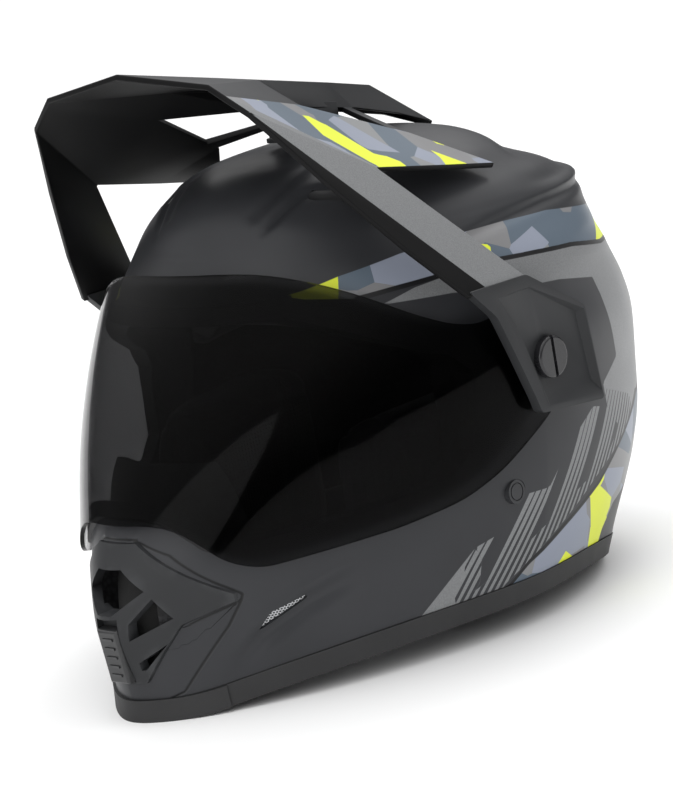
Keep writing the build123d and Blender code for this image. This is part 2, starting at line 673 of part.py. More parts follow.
top_screw += Pos(0, pivot_along, head_bottom - shank_length / 2) * Cylinder(top_screw_radius, shank_length)
top_screw -= Pos(0, pivot_along, head_bottom + top_head_height) * Box(
    2 * top_head_radius, coin_slot_width, 2 * coin_slot_depth)
pieces["peak_top_screw"] = top_screw

# Centred over the origin with the lower edge on the ground
boxes = [piece.bounding_box() for piece in pieces.values()]
middle = (min(box.min.Y for box in boxes) + max(box.max.Y for box in boxes)) / 2
lowest = min(box.min.Z for box in boxes)
os.makedirs("parts", exist_ok=True)
for name, piece in pieces.items():
    export_step(Pos(0, -middle, -lowest) * piece, f"parts/{name}.step")
    print(name, round(piece.volume), len(piece.solids()), piece.is_valid)
print("shift", -middle, -lowest)
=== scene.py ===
import json
import math
import bmesh
import bpy
import numpy as np
from mathutils import Matrix, Vector
from mathutils.bvhtree import BVHTree


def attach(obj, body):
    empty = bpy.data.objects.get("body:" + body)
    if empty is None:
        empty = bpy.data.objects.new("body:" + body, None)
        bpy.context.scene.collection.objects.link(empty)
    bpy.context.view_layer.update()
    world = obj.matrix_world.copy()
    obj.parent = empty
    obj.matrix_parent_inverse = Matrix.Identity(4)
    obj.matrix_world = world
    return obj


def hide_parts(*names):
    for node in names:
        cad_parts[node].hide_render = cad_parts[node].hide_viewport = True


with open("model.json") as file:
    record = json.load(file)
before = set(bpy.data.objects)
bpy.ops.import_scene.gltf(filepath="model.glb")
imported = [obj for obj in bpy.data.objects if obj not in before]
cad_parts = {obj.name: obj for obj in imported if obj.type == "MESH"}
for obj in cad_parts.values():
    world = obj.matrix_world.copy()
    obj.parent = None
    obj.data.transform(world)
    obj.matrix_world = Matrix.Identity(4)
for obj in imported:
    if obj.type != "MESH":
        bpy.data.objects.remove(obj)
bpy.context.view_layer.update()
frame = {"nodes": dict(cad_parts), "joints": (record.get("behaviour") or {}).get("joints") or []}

# Dual sport helmet. The making is in millimetres in a working frame, where the widest cross section lies
# near the origin; place() turns it into metres in the shared frame.
HALF_WIDTH, HALF_LENGTH, HEIGHT = 127, 180, 248
CENTRE = np.array([0.0, 30.0, 110.0])
PIVOT_Y, PIVOT_Z = 7, 137
TOP_SCREW_Y = 7
RIVET_Y, RIVET_Z = -11, 73
SIDES = ((1, "left"), (-1, "right"))
HINGE = next(j for j in frame["joints"] if j["name"] == "shield_hinge")["pos_m"]
SHIFT = HINGE[1] * 1000 - PIVOT_Y
N = frame["nodes"]

# Rows of the shell: height, half width, widest place, front reach, rear reach, front power, rear power
ROWS = np.array([
    [0, 107, 4, 175, 133, 1.6, 2.1], [20, 113, 5, 176, 141, 1.5, 2.1], [60, 121, 8, 180, 165, 1.42, 2.15],
    [90, 125, 12, 165, 171, 1.6, 2.2], [120, 127, 14, 148, 173, 1.75, 2.2],
    [150, 126, 20, 130, 168, 1.85, 2.2], [170, 124, 25, 117, 157, 1.9, 2.2],
    [184, 121, 29, 107, 150, 1.95, 2.15], [196, 116, 32, 97, 148, 2.0, 2.15],
    [207, 111, 36, 87, 149, 2.05, 2.15], [222, 98, 40, 77, 112, 2.1, 2.1], [235, 82, 42, 64, 92, 2.1, 2.0],
    [243.5, 60, 40, 45, 76, 2.1, 2.0], [247.4, 30, 37, 8, 62, 2.0, 2.0], [248, 4, 35, -31, 39, 2.0, 2.0]])


def hermite(s, h, y0, y1, m0, m1):
    """A cubic from y0 to y1 over a stretch of length h, with its slopes at both ends, at shares s of it."""
    return ((1 + 2 * s) * (1 - s) ** 2 * y0 + s * (1 - s) ** 2 * h * m0
            + s * s * (3 - 2 * s) * y1 + s * s * (s - 1) * h * m1)


def pchip(t, y, q):
    """Monotone cubic through rows y at places t, read at q."""
    h = np.diff(t)[:, None]
    d = np.diff(y, axis=0) / h
    m = np.zeros_like(y)
    m[0], m[-1] = d[0], d[-1]
    w1, w2 = 2 * h[1:] + h[:-1], h[1:] + 2 * h[:-1]
    with np.errstate(all="ignore"):
        inner = (w1 + w2) / (w1 / d[:-1] + w2 / d[1:])
    m[1:-1] = np.where(d[:-1] * d[1:] > 0, inner, 0)
    k = np.clip(np.searchsorted(t, q) - 1, 0, len(t) - 2)
    s = ((q - t[k]) / h[k, 0])[:, None]
    return hermite(s, h[k], y[k], y[k + 1], m[k], m[k + 1])


def form_grid(turns=480, levels=230, crowded=(194, 212, 36), least_gap=0.45):
    """The shell's surface as a grid of points, from the bottom row up, crowded round the rear ledge."""
    t = np.r_[0, np.cumsum(np.hypot(np.diff(ROWS[:, 0]), np.diff(ROWS[:, 1])))]
    extra = np.interp(np.linspace(*crowded), ROWS[:, 0], t)
    q = np.sort(np.r_[np.linspace(0, t[-1], levels), extra])
    q = q[np.r_[True, np.diff(q) > least_gap]]
    turn = np.linspace(0, 2 * np.pi, turns, endpoint=False) + np.pi
    c, s = np.cos(turn), np.sin(turn)
    z, w, mid, front, rear, m, n = [v[:, None] for v in pchip(t, ROWS, q).T]
    power = 2 / np.where(c > 0, m, n)
    x = w * np.sign(s) * np.abs(s) ** power
    y = mid - np.where(c > 0, front + mid, rear - mid) * np.sign(c) * np.abs(c) ** power
    return np.stack([x, y, np.broadcast_to(z, x.shape)], -1)


def grid_normals(g):
    """Outward normals of a grid closed round its second axis."""
    around = np.roll(g, -1, 1) - np.roll(g, 1, 1)
    up = np.gradient(g, axis=0)
    n = np.cross(around, up)
    n /= np.maximum(np.linalg.norm(n, axis=-1, keepdims=True), 1e-9)
    return n * np.sign((n * (g - CENTRE)).sum(-1, keepdims=True))


def grid_faces(levels, turns):
    """Two triangles for each cell of a grid closed round, wound outwards."""
    i, j = np.meshgrid(np.arange(levels - 1), np.arange(turns), indexing="ij")
    a, b = i * turns + j, i * turns + (j + 1) % turns
    c, d = b + turns, a + turns
    return np.concatenate([np.stack([a, b, c], -1).reshape(-1, 3), np.stack([a, c, d], -1).reshape(-1, 3)])


def smooth(x, lo, hi):
    """Zero below lo, one above hi, with a soft ramp between them."""
    x = np.clip((x - lo) / (hi - lo), 0, 1)
    return x * x * (3 - 2 * x)


def seg_dist(p, a, b):
    """Distance from each point to a straight stretch."""
    ab = b - a
    t = np.clip(((p - a) @ ab) / max(ab @ ab, 1e-9), 0, 1)
    return np.linalg.norm(p - a - t[:, None] * ab, axis=1)


def line_dist(p, points):
    """Distance from each point to a line of straight stretches."""
    pts = np.array(points, float)
    return np.min([seg_dist(p, a, b) for a, b in zip(pts[:-1], pts[1:])], axis=0)


def signed_line(p, points):
    """Distance to a line, with a sign for the side that the point lies on."""
    best, sign = np.full(len(p), 1e9), np.ones(len(p))
    for a, b in zip(np.array(points[:-1], float), np.array(points[1:], float)):
        d = seg_dist(p, a, b)
        turn = (b - a)[0] * (p - a)[:, 1] - (b - a)[1] * (p - a)[:, 0]
        closer = d < best
        best, sign = np.where(closer, d, best), np.where(closer, np.sign(turn), sign)
    return best * sign


def poly_dist(p, points):
    """Signed distance to a closed outline, negative inside."""
    pts = np.array(points, float)
    d = np.full(len(p), 1e9)
    inside = np.zeros(len(p), bool)
    for a, b in zip(pts, np.roll(pts, -1, 0)):
        d = np.minimum(d, seg_dist(p, a, b))
        cross = (a[1] > p[:, 1]) != (b[1] > p[:, 1])
        if cross.any():
            edge = a[0] + (p[:, 1] - a[1]) * (b[0] - a[0]) / ((b[1] - a[1]) or 1e-9)
            inside ^= cross & (p[:, 0] < edge)
    return np.where(inside, -d, d)


def rounded(points, radius, steps=5):
    """An outline with its corners rounded."""
    pts = np.array(points, float)
    out = []
    for a, b, c in zip(np.roll(pts, 1, 0), pts, np.roll(pts, -1, 0)):
        u, v = a - b, c - b
        r = min(radius, 0.45 * np.linalg.norm(u), 0.45 * np.linalg.norm(v))
        p, q = b + u / np.linalg.norm(u) * r, b + v / np.linalg.norm(v) * r
        for s in np.linspace(0, 1, steps + 1):
            out.append((1 - s) ** 2 * p + 2 * s * (1 - s) * b + s * s * q)
    return np.array(out)


def clip(v, f, value):
    """The part of a triangle mesh where value is above zero, cut along the zero line."""
    keep = value > 0
    n = keep[f].sum(1)
    out = [f[n == 3]]
    mixed = f[(n == 1) | (n == 2)]
    made, points, tris = {}, [], []

    def crossing(a, b):
        key = (min(a, b), max(a, b))
        if key not in made:
            s = value[a] / (value[a] - value[b])
            made[key] = len(v) + len(points)
            points.append(v[a] + (v[b] - v[a]) * s)
        return made[key]

    for tri in mixed.tolist():
        ring = []
        for a, b in zip(tri, tri[1:] + tri[:1]):
            if keep[a]:
                ring.append(a)
            if keep[a] != keep[b]:
                ring.append(crossing(a, b))
        for k in range(1, len(ring) - 1):
            tris.append((ring[0], ring[k], ring[k + 1]))
    if tris:
        out.append(np.array(tris))
        v = np.concatenate([v, np.array(points)])
    f = np.concatenate(out)
    used, f = np.unique(f, return_inverse=True)
    return v[used], f.reshape(-1, 3)


def trimmed(grid, keep):
    """The grid's mesh where keep, a function of its points, is above zero."""
    flat = grid.reshape(-1, 3)
    return clip(flat, grid_faces(*grid.shape[:2]), keep(flat))


def place(v):
    """Points of the working frame in metres, in the shared frame."""
    return (np.asarray(v, float) + [0, SHIFT, 0]) / 1000


def added(name, data):
    """A new object in the scene."""
    obj = bpy.data.objects.new(name, data)
    bpy.context.scene.collection.objects.link(obj)
    return obj


def mesh_of(name, v, f):
    mesh = bpy.data.meshes.new(name)
    mesh.from_pydata(place(v).tolist(), [], [list(map(int, ring)) for ring in f])
    return mesh


def make(name, v, f, body, mat, slot, attrs=None, replaces=(), sharp=None):
    """A mesh object from points in millimetres, riding on a body."""
    mesh = mesh_of(name, v, f)
    for key, values in (attrs or {}).items():
        mesh.attributes.new(key, "FLOAT", "POINT").data.foreach_set("value", np.asarray(values, np.float32))
    mesh.update()
    obj = added(name, mesh)
    mesh.materials.append(mat)
    mesh.shade_smooth()
    if sharp:
        mesh.set_sharp_from_angle(angle=math.radians(sharp))
    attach(obj, body)
    if replaces:
        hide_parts(*replaces)
    return obj


def settle(obj, sharp):
    """Applies the modifiers and sets the sharp edges."""
    dg = bpy.context.evaluated_depsgraph_get()
    dg.update()
    mesh = bpy.data.meshes.new_from_object(obj.evaluated_get(dg), preserve_all_data_layers=True, depsgraph=dg)
    obj.modifiers.clear()
    obj.data = mesh
    mesh.shade_smooth()
    mesh.set_sharp_from_angle(angle=math.radians(sharp))


def modify(obj, kind, **settings):
    mod = obj.modifiers.new(kind.lower(), kind)
    for key, value in settings.items():
        setattr(mod, key, value)
    return mod


def solidify(obj, thickness):
    """Gives a sheet its thickness, inwards."""
    return modify(obj, "SOLIDIFY", thickness=thickness / 1000, offset=-1.0)


def bevel(obj, width, segments, angle):
    """Rounds the edges that are sharper than an angle."""
    modify(obj, "BEVEL", width=width / 1000, segments=segments, limit_method="ANGLE",
           angle_limit=math.radians(angle))


def ring_faces(rings, n, closed=False):
    """Faces from each ring of n points to the next, and from the last ring to the first where closed."""
    return [[i * n + j, i * n + (j + 1) % n, (i + 1) % rings * n + (j + 1) % n, (i + 1) % rings * n + j]
            for i in range(rings if closed else rings - 1) for j in range(n)]


def end_faces(rings, n):
    return [list(range(n))[::-1], [(rings - 1) * n + j for j in range(n)]]


def circle(x, y, r, n=48):
    a = np.linspace(0, 2 * np.pi, n, endpoint=False)
    return np.stack([x + r * np.cos(a), y + r * np.sin(a)], 1)


def prism(points, lo, hi, axis):
    """A straight prism along x over an outline in y and z, or along z over one in x and y."""
    pts = np.array(points, float)
    area = 0.5 * np.sum(pts[:, 0] * np.roll(pts[:, 1], -1) - np.roll(pts[:, 0], -1) * pts[:, 1])
    if area < 0:
        pts = pts[::-1]
    v = [(end, *p) if axis == "x" else (*p, end) for end in (lo, hi) for p in pts]
    return np.array(v, float), end_faces(2, len(pts)) + ring_faces(2, len(pts))


# Materials
class Shader:
    """A node material under construction. Places are read from the object's own coordinates, in metres."""

    def __init__(self, name, base, rough, **sockets):
        self.mat = bpy.data.materials.new(name)
        self.mat.use_nodes = True
        self.tree = self.mat.node_tree
        self.bsdf = next(n for n in self.tree.nodes if n.type == "BSDF_PRINCIPLED")
        self.finish(base, rough, **sockets)
        self.spot = self.node("TexCoord").outputs["Object"]

    def node(self, kind, props=None, **inputs):
        node = self.tree.nodes.new("ShaderNode" + kind)
        for key, value in (props or {}).items():
            setattr(node, key, value)
        self.fill(node, inputs)
        return node

    def fill(self, node, values):
        """Sets or links a node's sockets by their names, with an underscore for each space."""
        for key, value in values.items():
            if value is not None:
                self.put(node.inputs[key.replace("_", " ")], value)

    def put(self, socket, value):
        """Sets or links a socket; a colour has three numbers."""
        if isinstance(value, bpy.types.NodeSocket):
            self.tree.links.new(value, socket)
        else:
            socket.default_value = (*value, 1) if socket.type == "RGBA" else value

    def finish(self, color=None, rough=None, normal=None, **others):
        """Sets or links the shader's own sockets."""
        self.fill(self.bsdf, {"Base Color": color, "Roughness": rough, "Normal": normal, **others})
        return self.mat

    def math(self, op, a, b=0.0):
        node = self.node("Math", {"operation": op})
        self.put(node.inputs[0], a)
        self.put(node.inputs[1], b)
        return node.outputs[0]

    def times(self, a, b):
        return self.math("MULTIPLY", a, b)

    def mapped(self, scale, turn=(0, 0, 0)):
        return self.node("Mapping", Vector=self.spot, Scale=scale, Rotation=turn).outputs[0]

    def noise(self, scale, detail=3.0, rough=0.5, vector=None):
        return self.node("TexNoise", Vector=vector or self.spot, Scale=scale, Detail=detail,
                         Roughness=rough).outputs["Fac"]

    def range(self, value, a, b, c=0.0, d=1.0):
        node = self.node("MapRange", Value=value)
        for k, v in zip(("From Min", "From Max", "To Min", "To Max"), (a, b, c, d)):
            node.inputs[k].default_value = v
        return node.outputs[0]

    def mix(self, fac, a, b):
        node = self.node("Mix", {"data_type": "RGBA"})
        self.put(node.inputs[0], fac)
        self.put(node.inputs[6], a)
        self.put(node.inputs[7], b)
        return node.outputs[2]

    def attr(self, name):
        return self.node("Attribute", {"attribute_name": name}).outputs["Fac"]

    def inside(self, name, soft=0.12):
        """One inside the outline whose signed distance in mm the attribute holds, zero outside."""
        return self.range(self.attr(name), soft, -soft)

    def bump(self, height, strength, distance, under=None):
        return self.node("Bump", Height=height, Strength=strength, Distance=distance, Normal=under).outputs[0]


# Linear colours
CHARCOAL = (0.032, 0.033, 0.036)
SILVER = (0.23, 0.235, 0.24)
BLUE_GREY = (0.105, 0.135, 0.17)
LAVENDER = (0.26, 0.285, 0.35)
MID_GREY = (0.21, 0.21, 0.215)
YELLOW = (0.74, 0.82, 0.045)

# The splinter pattern: where each tone starts, as a share of the patches, and the patches' scale and stretch
TONES = ((0.0, BLUE_GREY), (0.36, LAVENDER), (0.62, MID_GREY), (0.84, SILVER))
PATCH_SCALE, YELLOW_SCALE, PATCH_STRETCH = 44.0, 46.0, 1.5

# The slanted bars on the flank and the hairlines across them, in metres, and the slope that both follow
BAR_PERIOD, HAIRLINE_PERIOD = 0.0204, 0.0034
BAR_SHARE = 0.66
BAR_SLOPE = (0.80, 0.60)

# The two shades that the silver's flake runs between
SHELL_SILVER = ((0.175, 0.18, 0.185), (0.235, 0.24, 0.245))
PEAK_SILVER = ((0.17, 0.175, 0.18), (0.225, 0.23, 0.235))


def patches(s, vector, scale):
    """Random colours, one for each cell of an uneven mosaic."""
    cells = s.node("TexVoronoi", {"voronoi_dimensions": "2D"}, Vector=vector, Scale=scale,
                   Randomness=1.0)
    return s.node("SeparateColor", Color=cells.outputs["Color"])


def camo_color(s, plane, yellow):
    """Splinter pattern of straight-edged patches, in two layers, over a plane of the object's coordinates."""
    xyz = s.node("SeparateXYZ", Vector=s.spot)
    a, b = [xyz.outputs[i] for i in plane]
    flat = s.node("CombineXYZ", X=a, Y=s.times(b, PATCH_STRETCH)).outputs[0]
    ramp = s.node("ValToRGB", Fac=patches(s, flat, PATCH_SCALE).outputs[0])
    band = ramp.color_ramp
    band.interpolation = "CONSTANT"
    for n, (start, tint) in enumerate(TONES):
        step = band.elements[n] if n < 2 else band.elements.new(start)
        step.position = start
        step.color = (*tint, 1)
    shifted = s.node("Mapping", Vector=flat, Location=(0.37, 0.19, 0), Rotation=(0, 0, 0.5))
    pick = patches(s, shifted.outputs[0], YELLOW_SCALE).outputs[1]
    return s.mix(s.math("GREATER_THAN", pick, yellow), ramp.outputs[0], YELLOW)


def flaked(s, shades):
    """Silver paint with a fine flake."""
    low, high = shades
    return s.mix(s.range(s.noise(2600.0, 1.0), 0.35, 0.65), low, high)


def grain(s, scale, strength, under=None):
    """The fine tooth of a matte clear coat."""
    return s.bump(s.noise(scale, 2.0), strength, 0.00008, under)


def paint_shell():
    s = Shader("shell_paint", CHARCOAL, 0.42, Specular_IOR_Level=0.25)
    base = s.mix(s.range(s.noise(14.0, 4.0), 0.3, 0.7), (0.028, 0.029, 0.032), (0.037, 0.038, 0.042))
    silver = flaked(s, SHELL_SILVER)
    is_silver, is_camo, is_line = s.inside("silver"), s.inside("camo"), s.inside("line")
    color = s.mix(is_silver, base, silver)
    color = s.mix(is_camo, color, camo_color(s, (1, 2), 0.79))
    # Diagonal speed lines: charcoal on the silver and silver on the charcoal, thinner towards one end
    xyz = s.node("SeparateXYZ", Vector=s.spot)
    along, up = [s.times(xyz.outputs[i], k) for i, k in zip((1, 2), BAR_SLOPE)]
    across = s.math("SUBTRACT", along, up)
    hairline = s.math("FRACT", s.math("DIVIDE", across, HAIRLINE_PERIOD))
    stroke = s.math("LESS_THAN", hairline, s.range(s.attr("fade"), 0.0, 1.0, 0.16, 0.52))
    bar = s.math("LESS_THAN", s.math("FRACT", s.math("DIVIDE", across, BAR_PERIOD)), BAR_SHARE)
    bare = s.math("SUBTRACT", 1.0, stroke)
    is_hatch = s.times(s.times(s.inside("hatch"), bar), bare)
    near_hatch = s.times(s.range(s.attr("hatch"), 9.0, 8.8), s.times(is_silver, stroke))
    color = s.mix(near_hatch, color, base)
    color = s.mix(is_hatch, color, silver)
    color = s.mix(is_line, color, (0.012, 0.012, 0.013))
    # Panel seams of the chin: a dark line in a narrow groove
    off_seam = s.math("ABSOLUTE", s.attr("seam"))
    seam = s.range(off_seam, 0.25, 0.65, 1.0, 0.0)
    color = s.mix(s.times(seam, 0.85), color, (0.004, 0.004, 0.004))
    metal = s.math("MAXIMUM", is_silver, is_hatch)
    rough = s.range(s.noise(40.0, 3.0), 0.3, 0.7, 0.35, 0.41)
    rough = s.math("ADD", rough, s.times(is_camo, -0.04))
    dip = s.bump(s.range(off_seam, 0.1, 0.9), 0.7, 0.0005)
    step = s.bump(s.math("MAXIMUM", is_silver, is_camo), 0.25, 0.00006, dip)
    return s.finish(color, rough, grain(s, 1500, 0.10, step), Metallic=s.times(metal, 0.15))


def plain(name, base, rough, scale, strength, spread, wear=0.0, **sockets):
    """Moulded plastic or rubber with a fine tooth, a slight cloud in colour and gloss, and worn edges."""
    s = Shader(name, base, rough, **sockets)
    dark, light = [tuple(c * k for c in base) for k in (1 - spread, 1 + spread)]
    color = s.mix(s.range(s.noise(30.0, 4.0), 0.3, 0.7), dark, light)
    if wear:
        edge = s.node("NewGeometry").outputs["Pointiness"]
        worn = s.times(s.range(edge, 0.53, 0.60), s.range(s.noise(90.0, 5.0), 0.45, 0.6))
        color = s.mix(s.times(worn, wear), color, [min(1, c * 2.2 + 0.03) for c in base])
    gloss = s.range(s.noise(60.0, 3.0), 0.25, 0.75, rough * 0.88, min(1.0, rough * 1.12))
    return s.finish(color, gloss, s.bump(s.noise(scale, 3.0), strength, 0.0001))


def knit(name, base, pitch=0.0022, rough=0.85):
    """Open knitted lining: rows of small dark holes in a staggered net."""
    s = Shader(name, base, rough, Sheen_Weight=0.35, Sheen_Roughness=0.5)
    net = s.node("TexVoronoi", {"feature": "F1"}, Vector=s.spot, Scale=1 / pitch, Randomness=0.15)
    hole = s.range(net.outputs["Distance"], 0.18, 0.42)
    fuzz = s.noise(900.0, 3.0)
    thread = s.mix(fuzz, [c * 0.75 for c in base], base)
    color = s.mix(hole, [c * 0.25 for c in base], thread)
    return s.finish(color, None, s.bump(hole, 0.7, 0.0004, s.bump(fuzz, 0.2, 0.0001)))


def brushed(name, base, rough):
    """Plated metal with fine lines along it."""
    s = Shader(name, base, rough, Metallic=1.0)
    fine = s.noise(400.0, 4.0, 0.6, s.mapped((1, 1, 14)))
    return s.finish(s.mix(fine, [c * 0.85 for c in base], base),
                    s.range(fine, 0.3, 0.7, rough * 0.8, rough * 1.3), s.bump(fine, 0.08, 0.00005))


def wire_net():
    """Woven wire: rows of dark holes in a staggered pattern."""
    s = Shader("vent_net", (0.6, 0.61, 0.63), 0.35, Metallic=0.8)
    x = s.node("SeparateXYZ", Vector=s.spot)
    u, v = s.math("DIVIDE", x.outputs[1], 0.0013), s.math("DIVIDE", x.outputs[2], 0.0011)
    u = s.math("ADD", u, s.times(s.math("FLOOR", v), 0.5))
    du, dv = [s.math("ABSOLUTE", s.math("SUBTRACT", s.math("FRACT", w), 0.5)) for w in (u, v)]
    solid = s.range(s.math("MAXIMUM", du, dv), 0.28, 0.36)
    wire = s.mix(s.noise(300.0), (0.5, 0.51, 0.53), (0.72, 0.73, 0.75))
    color = s.mix(solid, (0.01, 0.01, 0.011), wire)
    return s.finish(color, None, s.bump(solid, 0.9, 0.0004), Metallic=s.times(solid, 0.8))


def smoke():
    """The smoked shield: clear plastic with an even tint and a faint haze in its gloss."""
    s = Shader("smoke_lens", (0.15, 0.15, 0.152), 0.03, Transmission_Weight=1.0, IOR=1.13)
    haze = s.noise(25.0, 4.0)
    color = s.mix(s.range(haze, 0.3, 0.7), (0.142, 0.142, 0.145), (0.162, 0.162, 0.165))
    gloss = s.range(s.noise(120.0, 4.0), 0.3, 0.8, 0.015, 0.045)
    return s.finish(color, gloss, s.bump(s.noise(9.0, 2.0), 0.02, 0.0003))


def foam_beads():
    """Moulded bead foam: small round cells with paler edges."""
    s = Shader("bead_foam", (0.02, 0.02, 0.022), 0.8)
    cell = s.node("TexVoronoi", Vector=s.spot, Scale=330.0, Randomness=0.9)
    edge = s.range(cell.outputs["Distance"], 0.25, 0.65, 1.0, 0.0)
    color = s.mix(edge, (0.012, 0.012, 0.013), (0.03, 0.03, 0.033))
    return s.finish(color, None, s.bump(edge, 0.5, 0.0004))


def woven():
    """Webbing: ribs across the strap, crossed by a diagonal twill."""
    s = Shader("webbing_weave", (0.02, 0.02, 0.022), 0.7, Sheen_Weight=0.2)
    a = s.node("TexWave", {"wave_type": "BANDS", "bands_direction": "Y", "wave_profile": "SIN"},
               Vector=s.spot, Scale=260.0, Distortion=0.6, Detail=1.0)
    b = s.node("TexWave", {"wave_type": "BANDS", "bands_direction": "DIAGONAL", "wave_profile": "SIN"},
               Vector=s.mapped((1, 0.4, 1)), Scale=420.0, Distortion=0.4)
    rib = s.times(a.outputs["Fac"], b.outputs["Fac"])
    color = s.mix(rib, (0.010, 0.010, 0.011), (0.034, 0.034, 0.037))
    return s.finish(color, None, s.bump(rib, 0.8, 0.0003))


def paint_peak(name, kind):
    """The peak's finishes: matte black, silver, the splinter pattern or a near-black painted shade for its
    underside, all under one matte coat.
    """
    s = Shader(name, CHARCOAL, 0.46, Specular_IOR_Level=0.3)
    cloud = s.range(s.noise(18.0, 4.0), 0.3, 0.7)
    if kind == "silver":
        color = flaked(s, PEAK_SILVER)
        s.finish(Metallic=0.15)
    elif kind == "inner":
        # Painted shade: near black, darker than the peak's own black, standing in for the shade under the
        # peak and on the arm's front band
        color = s.mix(cloud, (0.004, 0.004, 0.0043), (0.007, 0.007, 0.0073))
        s.finish(Specular_IOR_Level=0.12)
    elif kind == "camo":
        color = camo_color(s, (0, 1), 0.80)
    else:
        color = s.mix(cloud, (0.026, 0.027, 0.029), (0.036, 0.037, 0.04))
    return s.finish(color, s.range(cloud, 0, 1, 0.42, 0.5), grain(s, 1300, 0.14))


PAINT = paint_shell()
MATTE = plain("matte_black_plastic", (0.026, 0.027, 0.029), 0.5, 900, 0.25, 0.15, 0.25,
              Specular_IOR_Level=0.25)
SATIN = plain("satin_black_plastic", (0.024, 0.0245, 0.026), 0.34, 700, 0.12, 0.15, 0.2)
GLOSS = plain("gloss_black_plastic", (0.014, 0.014, 0.016), 0.16, 400, 0.05, 0.2, 0.3)
RUBBER = plain("black_rubber", (0.017, 0.017, 0.018), 0.62, 1500, 0.35, 0.2)
LINING = knit("knitted_lining", (0.045, 0.046, 0.05))
SUEDE = plain("brushed_lining", (0.03, 0.03, 0.034), 0.9, 2200, 0.6, 0.3, Sheen_Weight=0.5)
RIVET = plain("rivet_charcoal", CHARCOAL, 0.42, 1500, 0.1, 0.1, Specular_IOR_Level=0.25)
STEEL = brushed("plated_steel", (0.55, 0.55, 0.57), 0.28)
NET = wire_net()
LENS = smoke()
FOAM = foam_beads()
WEAVE = woven()
SPONGE = plain("filter_sponge", (0.02, 0.02, 0.02), 0.95, 800, 1.0, 0.5)

# The photograph's camera: the frame in pixels, the focal length in pixels and the column where the point that
# it aims at lies, the angles that it looks from, and its distance. All come from fitting the outline.
PHOTO_WIDTH, PHOTO_HEIGHT = 673, 800
FOCAL_PX, AIM_PX = 2812, 377
SENSOR = 36
CAMERA_AZIMUTH, CAMERA_HEIGHT, HELMET_PITCH = math.radians(44), math.radians(1.8), math.radians(14)
CAMERA_AIM = Vector((0, 25.0, 107.0))
CAMERA_FAR = 1480


def photo_camera():
    """The camera at the photograph's angle. It turns sideways a little, so that it needs no shift."""
    az, el = CAMERA_AZIMUTH, CAMERA_HEIGHT
    tilt = Matrix.Rotation(HELMET_PITCH, 3, "X")
    back = Vector((math.sin(az) * math.cos(el), -math.cos(az) * math.cos(el), math.sin(el)))
    right = Vector((math.cos(az), math.sin(az), 0))
    up = back.cross(right)
    eye = tilt @ CAMERA_AIM + back * CAMERA_FAR
    yaw = math.atan((AIM_PX - PHOTO_WIDTH / 2) / FOCAL_PX)
    ahead = -back * math.cos(yaw) - right * math.sin(yaw)
    side = right * math.cos(yaw) - back * math.sin(yaw)
    axes = tilt.transposed() @ Matrix((side, up, -ahead)).transposed()
    camera = added("camera", bpy.data.cameras.new("camera"))
    spot = (tilt.transposed() @ eye + Vector((0, SHIFT, 0))) / 1000
    camera.matrix_world = Matrix.Translation(spot) @ axes.to_4x4()
    camera.data.sensor_width = SENSOR
    camera.data.lens = FOCAL_PX * SENSOR / PHOTO_HEIGHT
    camera.data.clip_start = 0.05
    bpy.context.scene.camera = camera


photo_camera()

# Form of the shell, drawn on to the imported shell's outer face
RAY_FROM = 400


def blur(a, times):
    """Averages each value of a grid that is closed round its second axis with its neighbours."""
    for _ in range(times):
        a = (np.roll(a, 1, 1) + np.roll(a, -1, 1) + 2 * a) / 4
        b = np.concatenate([a[:1], a, a[-1:]])
        a = (b[:-2] + b[2:] + 2 * a) / 4
    return a


def fitted(grid):
    """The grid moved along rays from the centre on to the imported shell, with its facets smoothed out."""
    data = N["outer_shell"].data
    tree = BVHTree.FromPolygons([v.co for v in data.vertices], [list(p.vertices) for p in data.polygons])
    ray = grid - CENTRE
    reach = np.linalg.norm(ray, axis=-1)
    unit = ray / reach[..., None]
    normals = grid_normals(grid)
    ratio, known = np.ones(reach.shape), np.zeros(reach.shape)
    start = place(CENTRE + unit * RAY_FROM)
    for i in range(0, grid.shape[0], 2):
        for j in range(0, grid.shape[1], 2):
            spot, normal, _, dist = tree.ray_cast(Vector(start[i, j]), Vector(-unit[i, j]), RAY_FROM / 1000)
            if spot is None:
                continue
            share = (RAY_FROM - dist * 1000) / reach[i, j]
            if 0.97 < share < 1.035 and normal.dot(Vector(normals[i, j])) > 0.93:
                ratio[i, j], known[i, j] = share, 1
    top, bottom = blur(ratio * known, 60), blur(known, 60)
    ratio = np.where(bottom > 1e-9, top / np.maximum(bottom, 1e-9), 1.0)
    return CENTRE + ray * ratio[..., None]


def inset(points, by):
    """The form drawn in by so many millimetres, or let out where by is below zero."""
    reach = HEIGHT - CENTRE[2]
    shrink = [1 - by / HALF_WIDTH, 1 - by / HALF_LENGTH, 1 - by / reach]
    return points * shrink + [0, 0, CENTRE[2] * by / reach]


def smooth_curve(points, samples=300):
    """A smooth curve through points that starts and ends level."""
    p = np.array(points, float)
    h = np.linalg.norm(np.diff(p, axis=0), axis=1)
    d = np.diff(p, axis=0) / h[:, None]
    n = len(p)
    m, rhs = np.eye(n), np.tile([1.0, 0.0], (n, 1))
    for i in range(1, n - 1):
        m[i, i - 1:i + 2] = h[i], 2 * (h[i - 1] + h[i]), h[i - 1]
        rhs[i] = 3 * (h[i] * d[i - 1] + h[i - 1] * d[i])
    slope = np.linalg.solve(m, rhs)
    out = []
    for i in range(n - 1):
        s = np.linspace(0, 1, samples // (n - 1))[:, None]
        out.append(hermite(s, h[i], p[i], p[i + 1], slope[i], slope[i + 1]))
    return np.concatenate(out)


